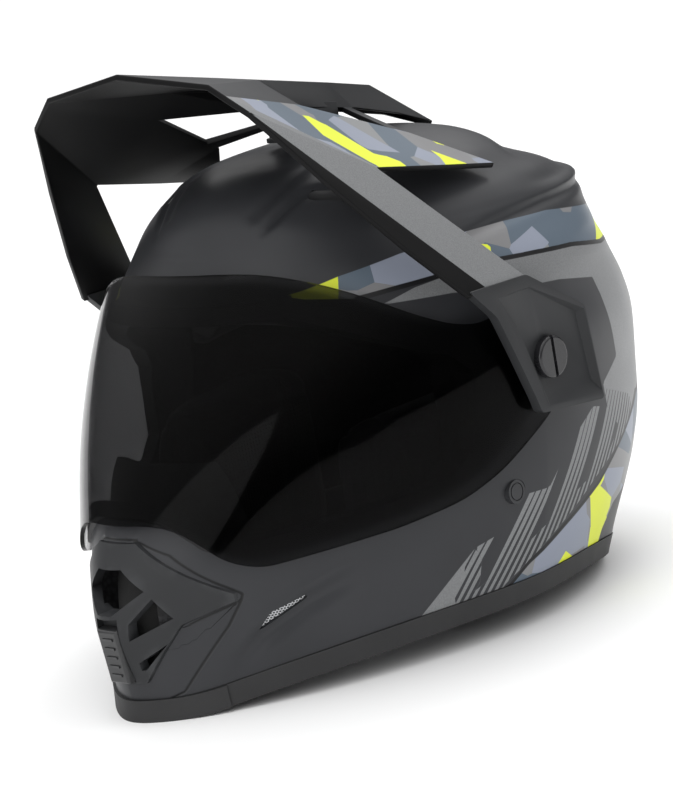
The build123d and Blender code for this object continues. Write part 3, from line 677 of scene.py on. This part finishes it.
# The shell's bottom edge, seen from the side: how far it rises along the length
EDGE_RISE = 15
EDGE = smooth_curve([(y * HALF_LENGTH, z * EDGE_RISE) for y, z in (
    (-0.94, 0), (-0.80, 0.27), (-0.61, 0.63), (-0.28, 0.93), (0, 1), (0.37, 0.84), (0.54, 0.38), (0.69, 0))])


def edge_height(y):
    return np.interp(y, EDGE[:, 0], EDGE[:, 1])


def side_view(points, radius=0.0):
    """An outline seen from the side, given in shares of the half length and the height."""
    pts = [(y * HALF_LENGTH, z * HEIGHT) for y, z in points]
    return rounded(pts, radius) if radius else np.array(pts)


PORT = side_view([
    (-1.20, 0.399), (-0.878, 0.399), (-0.822, 0.323), (-0.739, 0.296), (-0.411, 0.315), (-0.239, 0.339),
    (-0.150, 0.391), (-0.117, 0.565), (-0.183, 0.629), (-0.333, 0.685), (-0.489, 0.758), (-1.20, 0.774)], 8)
LENS_EDGE = side_view([
    (-1.20, 0.391), (-0.889, 0.391), (-0.811, 0.302), (-0.744, 0.278), (-0.411, 0.298), (-0.250, 0.318),
    (-0.139, 0.351), (0.039, 0.430), (0.170, 0.500), (0.170, 0.610), (0.060, 0.670), (-0.128, 0.648),
    (-0.200, 0.661), (-0.283, 0.696), (-0.422, 0.779), (-0.505, 0.820), (-1.20, 0.835)], 8)
SIDE_VENT = side_view([(-0.744, 0.145), (-0.717, 0.181), (-0.628, 0.200), (-0.622, 0.192)])
VENT_HALF = [(0.102, 0.355), (0.394, 0.234), (0.394, 0.218), (0.244, 0.190), (0.095, 0.081)]
VENT = np.array(VENT_HALF + [(-x, z) for x, z in VENT_HALF[::-1]]) * [HALF_WIDTH, HEIGHT]

# Radii of the holes with their clearances, the vents' slots and the height of the trim round the bottom.
# FAR and OFF are distances given where a hole or a line isn't looked for.
PIVOT_HOLE, RIVET_HOLE, SCREW_HOLE, LENS_HOLE = 9.15, 6.15, 5.15, 9.1
BROW_SLOT = {"middle": (59, -42), "length": 21, "width": 7, "turn": 36}
REAR_SLOT = {"middle": (38, 190), "length": 34, "width": 9}
VENT_ROOM = 0.15
TRIM_TOP = 11.15
FAR = 50.0
OFF = 9.0


def slot_dist(p, middle, length, width, turn=0.0):
    """Signed distance to a slot with round ends."""
    half = (length - width) / 2 * np.array([math.cos(math.radians(turn)), math.sin(math.radians(turn))])
    return seg_dist(p, np.array(middle) - half, np.array(middle) + half) - width / 2


def shell_openings(p):
    """Above zero where the shell has material: clear of the eye opening, edge, vents and holes."""
    x, y, z = p.T
    ax = np.abs(x)
    yz, axy, axz = p[:, 1:], np.stack([ax, y], 1), np.stack([ax, z], 1)
    parts = [poly_dist(yz, PORT),
             z - edge_height(y) - TRIM_TOP,
             np.where(y > -100, FAR, poly_dist(p[:, [0, 2]], VENT) - VENT_ROOM),
             np.where(y > -60, FAR, poly_dist(yz, SIDE_VENT)),
             np.where(z < 200, FAR, np.hypot(x, y - TOP_SCREW_Y) - SCREW_HOLE),
             np.where(z < 190, FAR, slot_dist(axy, **BROW_SLOT)),
             np.where(y < 60, FAR, slot_dist(axz, **REAR_SLOT)),
             np.hypot(y - PIVOT_Y, z - PIVOT_Z) - PIVOT_HOLE,
             np.hypot(y - RIVET_Y, z - RIVET_Z) - RIVET_HOLE]
    return np.min(parts, axis=0)


# Outlines of the paintwork, seen from the side: y and z in millimetres
UNDER = [
    (-64, 183.3), (-46, 184.7), (-27, 185.6), (7, 185.8), (30, 183.8), (61, 180.7), (98, 174), (150, 170),
    (200, 166)]
STRIPE = [
    (-84, 189.5), (-77, 191), (-64, 194.6), (-38, 199.2), (-4, 201.9), (21, 201.6), (52, 200.2),
    (98, 193.4), (150, 186), (165, 178)] + UNDER[-2::-1] + [(-80, 187)]
BAR_LINE = [(-37.8, 27.6), (4.6, 48.9), (30, 59.2), (65.3, 68.9), (80, 81)]
SILVER_LOOP = [(-56, 178.5), (-40, 183)] + [(y, z - 1) for y, z in UNDER[2:]] + [
    (200, 76), (112, 92), (84, 73.5), (52.4, 61.5), (7.2, 40.9), (-19.3, 26.9), (-24, 10), (-80, 10),
    (-69, 20), (-34, 50.8), (-31, 44), (-33, 32)] + BAR_LINE + [
    (68, 94.9), (65.8, 107.5), (84, 117.2), (76.6, 151.2), (72.9, 161.1), (42, 167.2), (20, 169.6),
    (0, 171.8), (-24, 176.5)]
HATCH = [
    (-33, 32), (-31, 44), (-34, 50.8), (-16.6, 55.2), (-5.4, 69.8), (11.4, 68.9), (28.5, 85.8),
    (43.2, 93.6), (53.3, 98.8), (67.1, 94.9), (92, 85.8)] + BAR_LINE[::-1]
DIAGONAL = [(-21, 22), (-3.5, 34.6), (23.4, 46), (57.5, 58.5), (82.4, 72.5), (115, 90), (160, 96)]
LOW_CAMO = [(-18, 24), (-3.5, 33.2)] + [(y, z - 1.5) for y, z in DIAGONAL[2:]] + [
    (200, 94), (200, 52), (120, 46), (78, 40), (64, 30), (50, 10), (-30, 10)]
UNDER_HALF, DIAGONAL_HALF = 1.1, 0.9
BAR_FOOT = [(-38, 28), (5, 49), (30, 59), (65, 69), (92, 80)]
BAR_REACH = 26

# Seams, folds, flutes and scoops of the left half, which the right half mirrors: x, y and z in millimetres
SEAMS = [
    [(10, -163.3, 89.4), (28.1, -158.4, 80.7), (51.9, -137.9, 57), (50.9, -138.9, 53.6),
     (38.6, -152.4, 48.9), (32.8, -158, 46.4)],
    [(50.9, -138.9, 53.6), (45.3, -144.8, 42.2), (25.6, -162.8, 13.3), (16, -169.4, 9)],
    [(-12, -163.3, 89.4), (12, -163.3, 89.4)]]
FOLD = [(10, -163.3, 89.4), (5.2, -170.8, 79.2)]
FLUTES = [
    [(38.2, -72.3, 218), (43.6, -61.7, 226.4), (48.2, -50.8, 232.3), (54.6, -43, 233.4),
     (62.9, -33.8, 233.1)],
    [(31.8, -67.4, 226.5), (37.1, -52.8, 235.6), (38.5, -29.7, 243.1)]]
SCOOP = [(42.9, -146.5, 22), (54.4, -133.6, 36), (69.6, -113.5, 48), (84, -92, 56)]

# The rear ledge, seen from the side
LEDGE = [(-17, 202.5), (-3, 203.3), (14, 205.8), (30, 207.1), (54, 208.5), (90, 208.4), (130, 208)]


def ridge(p, line, high, wide, start, end):
    """A soft ridge along a line, or a groove if high is below zero. It fades in over start, out over end."""
    return (high * np.exp(-(line_dist(p, line) / wide) ** 2)
            * smooth(p[:, 1], *start) * smooth(-p[:, 1], *end))


def shell_relief(p):
    """How far the surface stands out of the plain form: rear ledge, brow flutes, chin scoops and fold."""
    x, y, z = p.T
    q = np.stack([np.abs(x), y, z], 1)
    above = z - np.interp(y, *np.transpose(LEDGE))
    out = -1.7 * smooth(y, -35, 15) * np.exp(-((above + 3.6) / 3.0) ** 2)
    out -= 3.2 * smooth(y, 35, 85) * np.exp(-((above - 6.5) / 4.2) ** 2)
    for line, depth, wide in zip(FLUTES, (2.3, 1.3), (3.2, 4.5)):
        out += ridge(q, line, -depth, wide, (-78, -60), (22, 40))
    for drop, high, wide in ((3, -2.1, 5.0), (-5, 0.8, 3.0)):
        out += ridge(q + [0, 0, drop], SCOOP, high, wide, (-152, -132), (82, 105))
    out += 0.8 * np.exp(-(line_dist(q, FOLD) / 2.5) ** 2)
    return out


def paint_fields(p):
    """Each point's signed distance to the parts of the paintwork, and how wide the hairlines are there."""
    side = p[:, 1:]
    front = np.stack([np.abs(p[:, 0]), p[:, 2]], 1)
    seams = np.stack([signed_line(front, [(x, z) for x, _, z in line]) for line in SEAMS])
    seam = np.take_along_axis(seams, np.abs(seams).argmin(0)[None], 0)[0]
    under = line_dist(side, UNDER) - UNDER_HALF
    diagonal = np.where(side[:, 1] > 20, line_dist(side, DIAGONAL) - DIAGONAL_HALF, OFF)
    rise = (side[:, 1] - np.interp(side[:, 0], *np.transpose(BAR_FOOT))) / BAR_REACH
    return {"silver": poly_dist(side, SILVER_LOOP),
            "camo": np.minimum(poly_dist(side, STRIPE), poly_dist(side, LOW_CAMO)),
            "line": np.minimum(under, diagonal),
            "hatch": poly_dist(side, HATCH),
            "fade": np.clip(1 - rise, 0, 1),
            "seam": np.where(p[:, 1] < -100, seam, OFF)}


# Walls in millimetres, how far the shield stands off the shell's form and how deep the nets lie behind it
SHELL_WALL, LENS_WALL, NET_WALL, PEAK_WALL = 4.0, 2.2, 0.5, 3.0
LENS_STANDOFF, NET_DEPTH, NET_OVERLAP = 7.5, 3.7, 2.2
FORM = fitted(form_grid())


def shell_painted():
    relief = shell_relief(FORM.reshape(-1, 3)).reshape(FORM.shape[:2])
    verts, faces = trimmed(FORM + grid_normals(FORM) * relief[..., None], shell_openings)
    shell = make("shell_painted", verts, faces, "helmet", PAINT, "shell_plastic", paint_fields(verts),
                 ("outer_shell",))
    solidify(shell, SHELL_WALL)
    settle(shell, 40)


def lens_keep(p):
    """Above zero inside the shield's outline, clear of the pivots."""
    hole = np.hypot(p[:, 1] - PIVOT_Y, p[:, 2] - PIVOT_Z) - LENS_HOLE
    return np.where(p[:, 1] > 60, -OFF, np.minimum(-poly_dist(p[:, 1:], LENS_EDGE), hole))


def shield_lens():
    """A smoked sheet on a smoother form of its own, outside the shell."""
    verts, faces = trimmed(inset(blur(FORM, 16), -LENS_STANDOFF), lens_keep)
    lens = make("shield_lens", verts, faces, "shield", LENS, "smoke_shield", replaces=("shield",))
    solidify(lens, LENS_WALL)
    settle(lens, 40)
    bevel(lens, 0.35, 2, 60)


def net_keep(p):
    """Above zero within a little more than the side vents."""
    return np.where(p[:, 1] > -60, -OFF, NET_OVERLAP - poly_dist(p[:, 1:], SIDE_VENT))


def side_vent_nets():
    verts, faces = trimmed(inset(FORM, NET_DEPTH), net_keep)
    nets = make("side_vent_nets", verts, faces, "helmet", NET, "metal_mesh",
                replaces=("side_vent_mesh_left", "side_vent_mesh_right"))
    solidify(nets, NET_WALL)


shell_painted()
shield_lens()
side_vent_nets()

# Peak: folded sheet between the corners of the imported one, given in shares of the shell's size
CORNERS = {k: np.array(v) * [HALF_WIDTH, HALF_LENGTH, HEIGHT] for k, v in {
    "lip_centre": (0.0, -0.617, 1.2336), "deck_front": (0.0, -0.278, 1.181),
    "deck_middle": (0.0, 0.094, 1.121), "deck_rear": (0.0, 0.267, 1.093), "tail": (0.0, 0.567, 0.972),
    "lip_shoulder": (0.465, -0.596, 1.197), "edge_front": (0.252, -0.278, 1.169),
    "edge_middle": (0.110, 0.094, 1.117), "edge_rear": (0.087, 0.267, 1.089),
    "edge_tail": (0.024, 0.552, 0.973), "wall_middle": (0.134, -0.044, 1.084),
    "wall_rear": (0.110, 0.172, 1.053), "wall_tail": (0.055, 0.400, 1.010),
    "wing_front": (0.409, -0.244, 1.109), "wing_middle": (0.551, 0.056, 1.008),
    "wing_tip": (0.787, 0.194, 0.921), "lip_corner": (0.622, -0.572, 1.137),
    "side_front": (0.811, -0.283, 0.984), "side_middle": (0.803, -0.044, 0.952),
    "arm_front": (1.114, -0.239, 0.722), "arm_rear": (1.114, -0.011, 0.722)}.items()}
ARM_BOW = [0, -2.2, -1.0]


def between(a, b, share):
    """A share of the way from corner a to corner b."""
    return CORNERS[a] * (1 - share) + CORNERS[b] * share


for tag, share in (("a", 0.80), ("b", 0.96)):
    CORNERS[f"strut_wall_{tag}"] = between("wall_middle", "wall_rear", share)
    CORNERS[f"strut_wing_{tag}"] = between("wing_front", "wing_middle", share)
CORNERS["band_top"] = between("lip_corner", "side_front", 0.02)
CORNERS["lip_mid"] = between("lip_shoulder", "lip_corner", 0.42)
CORNERS["band_low"] = between("arm_front", "arm_rear", 0.32)
for tag, share in (("bow_high", 0.35), ("bow_low", 0.72)):
    CORNERS[tag] = between("lip_corner", "arm_front", share) + ARM_BOW

# The sheet's cells, each with its finish and its corners in order
# The inner finish is painted shade, used for the peak's underside and the arm's front band
FINISHES = {"inner": "peak_painted_shade", "dark": "peak_black", "camo": "peak_pattern", "silver": "peak_silver"}
CELLS = [
    ("dark", "lip_centre", "lip_shoulder", "edge_front", "deck_front"),
    ("dark", "deck_front", "edge_front", "edge_middle", "deck_middle"),
    ("dark", "deck_middle", "edge_middle", "edge_rear", "deck_rear"),
    ("dark", "deck_rear", "edge_rear", "edge_tail", "tail"),
    ("dark", "lip_shoulder", "wing_front", "edge_front"),
    ("dark", "wing_front", "wall_middle", "edge_front"),
    ("dark", "edge_front", "wall_middle", "edge_middle"),
    ("dark", "edge_middle", "wall_middle", "strut_wall_a", "strut_wall_b", "wall_rear", "edge_rear"),
    ("dark", "edge_rear", "wall_rear", "wall_tail", "edge_tail"),
    ("dark", "lip_shoulder", "lip_mid", "wing_front"),
    ("camo", "lip_mid", "side_front", "wing_front"),
    ("silver", "lip_mid", "lip_corner", "band_top", "side_front"),
    ("camo", "side_front", "side_middle", "wing_middle", "strut_wing_b", "strut_wing_a", "wing_front"),
    ("camo", "wing_middle", "side_middle", "wing_tip"),
    ("dark", "strut_wall_b", "strut_wall_a", "strut_wing_a", "strut_wing_b"),
    # The arm's front band faces away from the light, so its outer face takes the inner finish, a painted
    # shade
    ("inner", "lip_corner", "bow_high", "bow_low", "arm_front", "band_low", "band_top"),
    ("silver", "band_top", "band_low", "arm_rear", "side_front")]


def peak_cells():
    """The sheet's points, its faces on both halves and each face's finish."""
    names, points, faces, kinds = {}, [], [], []

    def index(name, sign):
        key = (name, sign if abs(CORNERS[name][0]) > 1e-6 else 0)
        if key not in names:
            names[key] = len(points)
            points.append(CORNERS[name] * [sign, 1, 1])
        return names[key]

    for sign in (1, -1):
        for kind, *ring in CELLS:
            face = [index(n, sign) for n in ring]
            faces.append(face if sign > 0 else face[::-1])
            kinds.append(list(FINISHES).index(kind))
    return np.array(points), faces, kinds


def peak_sheet():
    points, faces, kinds = peak_cells()
    mats = [paint_peak(name, kind) for kind, name in FINISHES.items()]
    peak = make("peak_sheet", points, faces, "peak", mats[0], "shell_plastic", replaces=("peak",))
    for mat in mats[1:]:
        peak.data.materials.append(mat)
    peak.data.polygons.foreach_set("material_index", kinds)
    modify(peak, "TRIANGULATE")
    wall = solidify(peak, PEAK_WALL)
    # The inner face and the rim take the first finish, the near-black painted shade, whatever the outer face
    # has
    wall.material_offset = wall.material_offset_rim = 1 - len(mats)
    bevel(peak, 0.7, 3, 22)
    settle(peak, 50)


def cut(obj, *tools):
    """Takes other objects out of one, and removes them."""
    for tool in tools:
        modify(obj, "BOOLEAN", operation="DIFFERENCE", object=tool, solver="EXACT")
    settle(obj, 40)
    for tool in tools:
        bpy.data.objects.remove(tool)


def tool_prism(points, lo, hi, axis):
    return added("tool", mesh_of("tool", *prism(points, lo, hi, axis)))


# Housings of the peak over the pivots, each with a sunk panel
HOUSING = side_view([
    (-0.239, 0.730), (-0.150, 0.665), (-0.100, 0.579), (-0.050, 0.488), (-0.033, 0.452), (0.228, 0.431),
    (0.206, 0.627), (-0.011, 0.726)], 2.5)
HOUSING_INNER, HOUSING_OUTER = 136.2, 141.7
SCREW_BORE = 3.1
BORE_TOOL = (130, 145)

# The pocket's floor: y, z and depth below the outer face. Its rim is this far from the floor in y and z.
POCKET_FLOOR = [
    (-24, 173.5, 0.2), (-15, 158.5, 0.4), (1.5, 121, 3.6), (37, 117.5, 3.6), (33, 153, 3.6), (-1, 173, 1.0)]
POCKET_RIM = [(0, 0), (0, 0), (-2, -7.5), (3.5, -7.5), (3.5, 1), (0, 1)]
POCKET_OVERRUN = 0.7


def pocket(sign):
    """The tool for the housing's pocket: shallow at the arm, deep and slanted at the rear and bottom."""
    floor = [(sign * (HOUSING_OUTER - d), y, z) for y, z, d in POCKET_FLOOR]
    top = sign * (HOUSING_OUTER + POCKET_OVERRUN)
    rim = [(top, y + a, z + b) for (y, z, _), (a, b) in zip(POCKET_FLOOR, POCKET_RIM)]
    bm = bmesh.new()
    points = [bm.verts.new(place(p)) for p in floor + rim]
    for ring in end_faces(2, len(floor)) + ring_faces(2, len(floor)):
        bm.faces.new([points[i] for i in ring])
    bmesh.ops.triangulate(bm, faces=bm.faces)
    bmesh.ops.recalc_face_normals(bm, faces=bm.faces)
    mesh = bpy.data.meshes.new("tool")
    bm.to_mesh(mesh)
    bm.free()
    return added("tool", mesh)


def peak_housing(sign, tag):
    v, f = prism(HOUSING, sign * HOUSING_INNER, sign * HOUSING_OUTER, "x")
    if sign < 0:
        f = [ring[::-1] for ring in f]
    housing = make(f"peak_housing_{tag}", v, f, "peak", MATTE, "shell_plastic")
    ends = sorted(sign * x for x in BORE_TOOL)
    cut(housing, pocket(sign), tool_prism(circle(PIVOT_Y, PIVOT_Z, SCREW_BORE), *ends, "x"))
    bevel(housing, 0.8, 3, 35)
    settle(housing, 60)


def peak_block(name, points, lo, hi, axis):
    """A small block with soft edges that rides on the peak."""
    obj = make(name, *prism(points, lo, hi, axis), "peak", MATTE, "shell_plastic")
    bevel(obj, 0.5, 3, 30)
    settle(obj, 60)
    return obj


# The tongue under the deck, with a slot for the top screw, and the two webs that join it to the deck
TONGUE_LOW, TONGUE_HIGH = 251.4, 253.9
TONGUE = [(-15.5, -7), (15.5, -7), (15.5, 21), (-15.5, 21)]
TONGUE_CORNER = 2.0
SLOT_REAR, SLOT_FRONT, SLOT_RADIUS = 13.2, 0.8, 2.8
TONGUE_TOOL = (240, 260)
WEB = [(-4, TONGUE_LOW), (18, TONGUE_LOW), (18, 267.0), (-4, 271.0)]
WEB_INNER, WEB_OUTER = 12.5, 15.5


def peak_tongue():
    tongue = peak_block("peak_tongue", rounded(TONGUE, TONGUE_CORNER), TONGUE_LOW, TONGUE_HIGH, "z")
    slot = np.concatenate([circle(0, SLOT_REAR, SLOT_RADIUS)[:25], circle(0, SLOT_FRONT, SLOT_RADIUS)[24:]])
    cut(tongue, tool_prism(slot, *TONGUE_TOOL, "z"))


peak_sheet()
for sign, tag in SIDES:
    peak_housing(sign, tag)
peak_tongue()
for sign, tag in SIDES:
    peak_block(f"peak_web_{tag}", WEB, *sorted((sign * WEB_INNER, sign * WEB_OUTER)), "x")

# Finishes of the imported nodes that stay


def finish_node(names, mat, width=0.0, angle=40):
    for name in names:
        node = N[name]
        node.data.materials.clear()
        node.data.materials.append(mat)
        if width:
            bevel(node, width, 2, angle)


finish_node(("eyeport_gasket", "bottom_trim", "chin_trim", "breath_guard"), RUBBER)
finish_node(("chin_vent_frame",), MATTE, 0.5, 35)
finish_node(("chin_vent_slider",), SATIN, 0.25, 35)
for _, tag in SIDES:
    finish_node((f"shield_pivot_{tag}", f"brow_vent_{tag}", f"rear_exhaust_{tag}"), SATIN, 0.2)
finish_node(("peak_screw_left", "peak_screw_right", "peak_top_screw"), GLOSS, 0.2)
finish_node(("eps_liner", "chin_liner"), FOAM)
finish_node(("d_ring_inner", "d_ring_outer", "top_screw_insert"), STEEL)
finish_node(("strap_snap",), SATIN, 0.15)
finish_node(("strap_rivet_left", "strap_rivet_right"), RIVET, 0.15)

# Soft pieces


def read(obj, key):
    """A vector of every vertex, as rows."""
    out = np.empty(len(obj.data.vertices) * 3)
    obj.data.vertices.foreach_get(key, out)
    return out.reshape(-1, 3)


def soft_piece(name, node, mat, voxel, rounds, drawn_in, lines=(), deep=0.0, wide=1.0):
    """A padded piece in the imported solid's place: rounded all over, with sewn channels pressed in."""
    obj = added(name, N[node].data.copy())
    obj.data.materials.clear()
    modify(obj, "REMESH", mode="VOXEL", voxel_size=voxel / 1000)
    modify(obj, "SMOOTH", factor=0.5, iterations=rounds)
    settle(obj, 80)
    p = read(obj, "co") * 1000 - [0, SHIFT, 0]
    push = np.full(len(p), -drawn_in)
    for field in lines:
        push -= deep * np.exp(-(field(p) / wide) ** 2)
    obj.data.vertices.foreach_set("co", place(p + read(obj, "normal") * push[:, None]).ravel())
    obj.data.update()
    obj.data.materials.append(mat)
    obj.data.shade_smooth()
    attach(obj, "helmet")
    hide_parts(node)


seams = [lambda p: p[:, 2] - (112 - 0.10 * (p[:, 1] + 20)),
         lambda p: p[:, 1] - 12 - 0.2 * (p[:, 2] - 75),
         lambda p: p[:, 1] + 40 + 0.2 * (p[:, 2] - 75)]
for _, tag in SIDES:
    soft_piece(f"cheek_cushion_{tag}", f"cheek_pad_{tag}", LINING, 2.2, 22, 0.3, seams, 1.6, 1.6)
soft_piece("crown_lining", "crown_liner", LINING, 2.4, 6, 0.2,
           [lambda p: np.abs(p[:, 0]) - 28, lambda p: np.abs(p[:, 0]) - 62], 1.3, 1.8)
soft_piece("neck_cushion", "neck_roll", SUEDE, 2.2, 14, 0.2,
           [lambda p: p[:, 2] - 24, lambda p: np.abs(p[:, 0]) - 45], 1.2, 1.5)
soft_piece("vent_sponge", "chin_vent_filter", SPONGE, 1.1, 3, 0.1)

# The chin strap, which hangs from the rivets in a plane of its own, and the loops round its rings
STRAP_WIDTH, STRAP_THICK = 25, 1.8
EDGE_ROUND, EDGE_BOUND = 1.2, 2.2
LOOP_INNER, LOOP_OUTER = 2.15, 3.3
HANG = [(x * HALF_WIDTH, z * HEIGHT) for x, z in (
    (0.680, 0.339), (0.680, 0.250), (0.625, 0.117), (0.598, 0.056), (0.472, 0.020))]
RINGS = {"inner": (35, 5), "outer": (41, 7)}
STRAP_ENDS = {"left": (41, 5), "right": (2, 5)}


def strap_piece(name, path, node):
    """A flat woven strap along a path in x and z, with a thicker bound edge on both sides."""
    pts = np.array(path, float)
    run = np.r_[0, np.cumsum(np.linalg.norm(np.diff(pts, axis=0), axis=1))]
    q = np.linspace(0, run[-1], max(24, int(run[-1] / 2)))
    line = np.stack([np.interp(q, run, pts[:, 0]), np.interp(q, run, pts[:, 1])], 1)
    for _ in range(3):
        line[1:-1] = (line[:-2] + line[2:] + 2 * line[1:-1]) / 4
    tangent = np.gradient(line, axis=0)
    tangent /= np.linalg.norm(tangent, axis=1, keepdims=True)
    across = np.stack([-tangent[:, 1], tangent[:, 0]], 1)
    h, w = STRAP_THICK / 2, STRAP_WIDTH / 2
    upper = [(-w, h * 0.6), (-w + EDGE_ROUND, h), (-w + EDGE_BOUND, h * 0.8), (0, h * 0.8),
             (w - EDGE_BOUND, h * 0.8), (w - EDGE_ROUND, h), (w, h * 0.6)]
    lower = [(a, -b) for a, b in upper[::-1]]
    section = lower[-1:] + upper + lower[:-1]
    v = []
    for spot, out in zip(line, across):
        for a, b in section:
            x, z = spot + out * b
            v.append((x, RIVET_Y + a, z))
    shape = len(line), len(section)
    f = ring_faces(*shape) + end_faces(*shape)
    make(name, v, f, "helmet", WEAVE, "webbing", replaces=(node,), sharp=50)


def strap_loop(name, x, z, n=40):
    """The strap's loop round a ring's straight bar."""
    v, w = [], STRAP_WIDTH / 2
    for r, y in ((LOOP_OUTER, -w), (LOOP_OUTER, w), (LOOP_INNER, w), (LOOP_INNER, -w)):
        v += [(a, RIVET_Y + y, b) for a, b in circle(x, z, r, n)]
    make(name, v, ring_faces(4, n, closed=True), "helmet", WEAVE, "webbing", sharp=50)


for sign, tag in SIDES:
    strap_piece(f"webbing_{tag}", [(sign * x, z) for x, z in HANG] + [STRAP_ENDS[tag]], f"strap_{tag}")
for tag, (x, z) in RINGS.items():
    strap_loop(f"webbing_loop_{tag}", x, z)

# Floor, soft light and lamps. A lamp has its azimuth and height in degrees, its distance and size in metres
# and its power in watts.
FLOOR_RADIUS = 30
LAMP_AIM = Vector((0, 0, 0.12))
LAMPS = {"key": (-5, 76, 1.9, 1.3, 7), "fill": (15, 8, 2.4, 1.5, 12), "rim": (195, 60, 2.2, 1.0, 10)}
SKY = ((0.05, (0.08, 0.08, 0.083, 1)), (0.75, (1.0, 1.0, 1.0, 1)))
SKY_STRENGTH = 1.32


def studio():
    """A wide pale floor."""
    s = Shader("pale_floor", (0.96, 0.96, 0.96), 0.9, Specular_IOR_Level=0.0)
    s.finish(s.mix(s.noise(3.0, 2.0), (0.955, 0.955, 0.955), (0.965, 0.965, 0.965)))
    ring = [(x, y, 0.0) for x, y in circle(0, 0, FLOOR_RADIUS, 96)]
    mesh = bpy.data.meshes.new("floor")
    mesh.from_pydata(ring, [], [list(range(len(ring)))])
    mesh.materials.append(s.mat)
    added("floor", mesh)


def sky():
    """Soft light from above that falls off towards the horizon."""
    world = bpy.data.worlds.new("studio")
    world.use_nodes = True
    tree = world.node_tree
    ground = tree.nodes["Background"]
    direction = tree.nodes.new("ShaderNodeTexCoord")
    parts = tree.nodes.new("ShaderNodeSeparateXYZ")
    ramp = tree.nodes.new("ShaderNodeValToRGB")
    ramp.color_ramp.interpolation = "EASE"
    for step, values in zip(ramp.color_ramp.elements, SKY):
        step.position, step.color = values
    tree.links.new(direction.outputs["Generated"], parts.inputs[0])
    tree.links.new(parts.outputs[2], ramp.inputs[0])
    tree.links.new(ramp.outputs[0], ground.inputs[0])
    ground.inputs[1].default_value = SKY_STRENGTH
    bpy.context.scene.world = world
    bpy.context.scene.view_settings.view_transform = "Standard"


def lamp(name, azimuth, height, far, size, power):
    light = bpy.data.lights.new(name, "AREA")
    light.energy, light.size = power, size
    a, e = math.radians(azimuth), math.radians(height)
    spot = Vector((math.sin(a) * math.cos(e), -math.cos(a) * math.cos(e), math.sin(e))) * far
    obj = added(name, light)
    obj.location = spot + LAMP_AIM
    obj.rotation_euler = (-spot).to_track_quat("-Z", "Y").to_euler()


studio()
sky()
for name, values in LAMPS.items():
    lamp(name, *values)
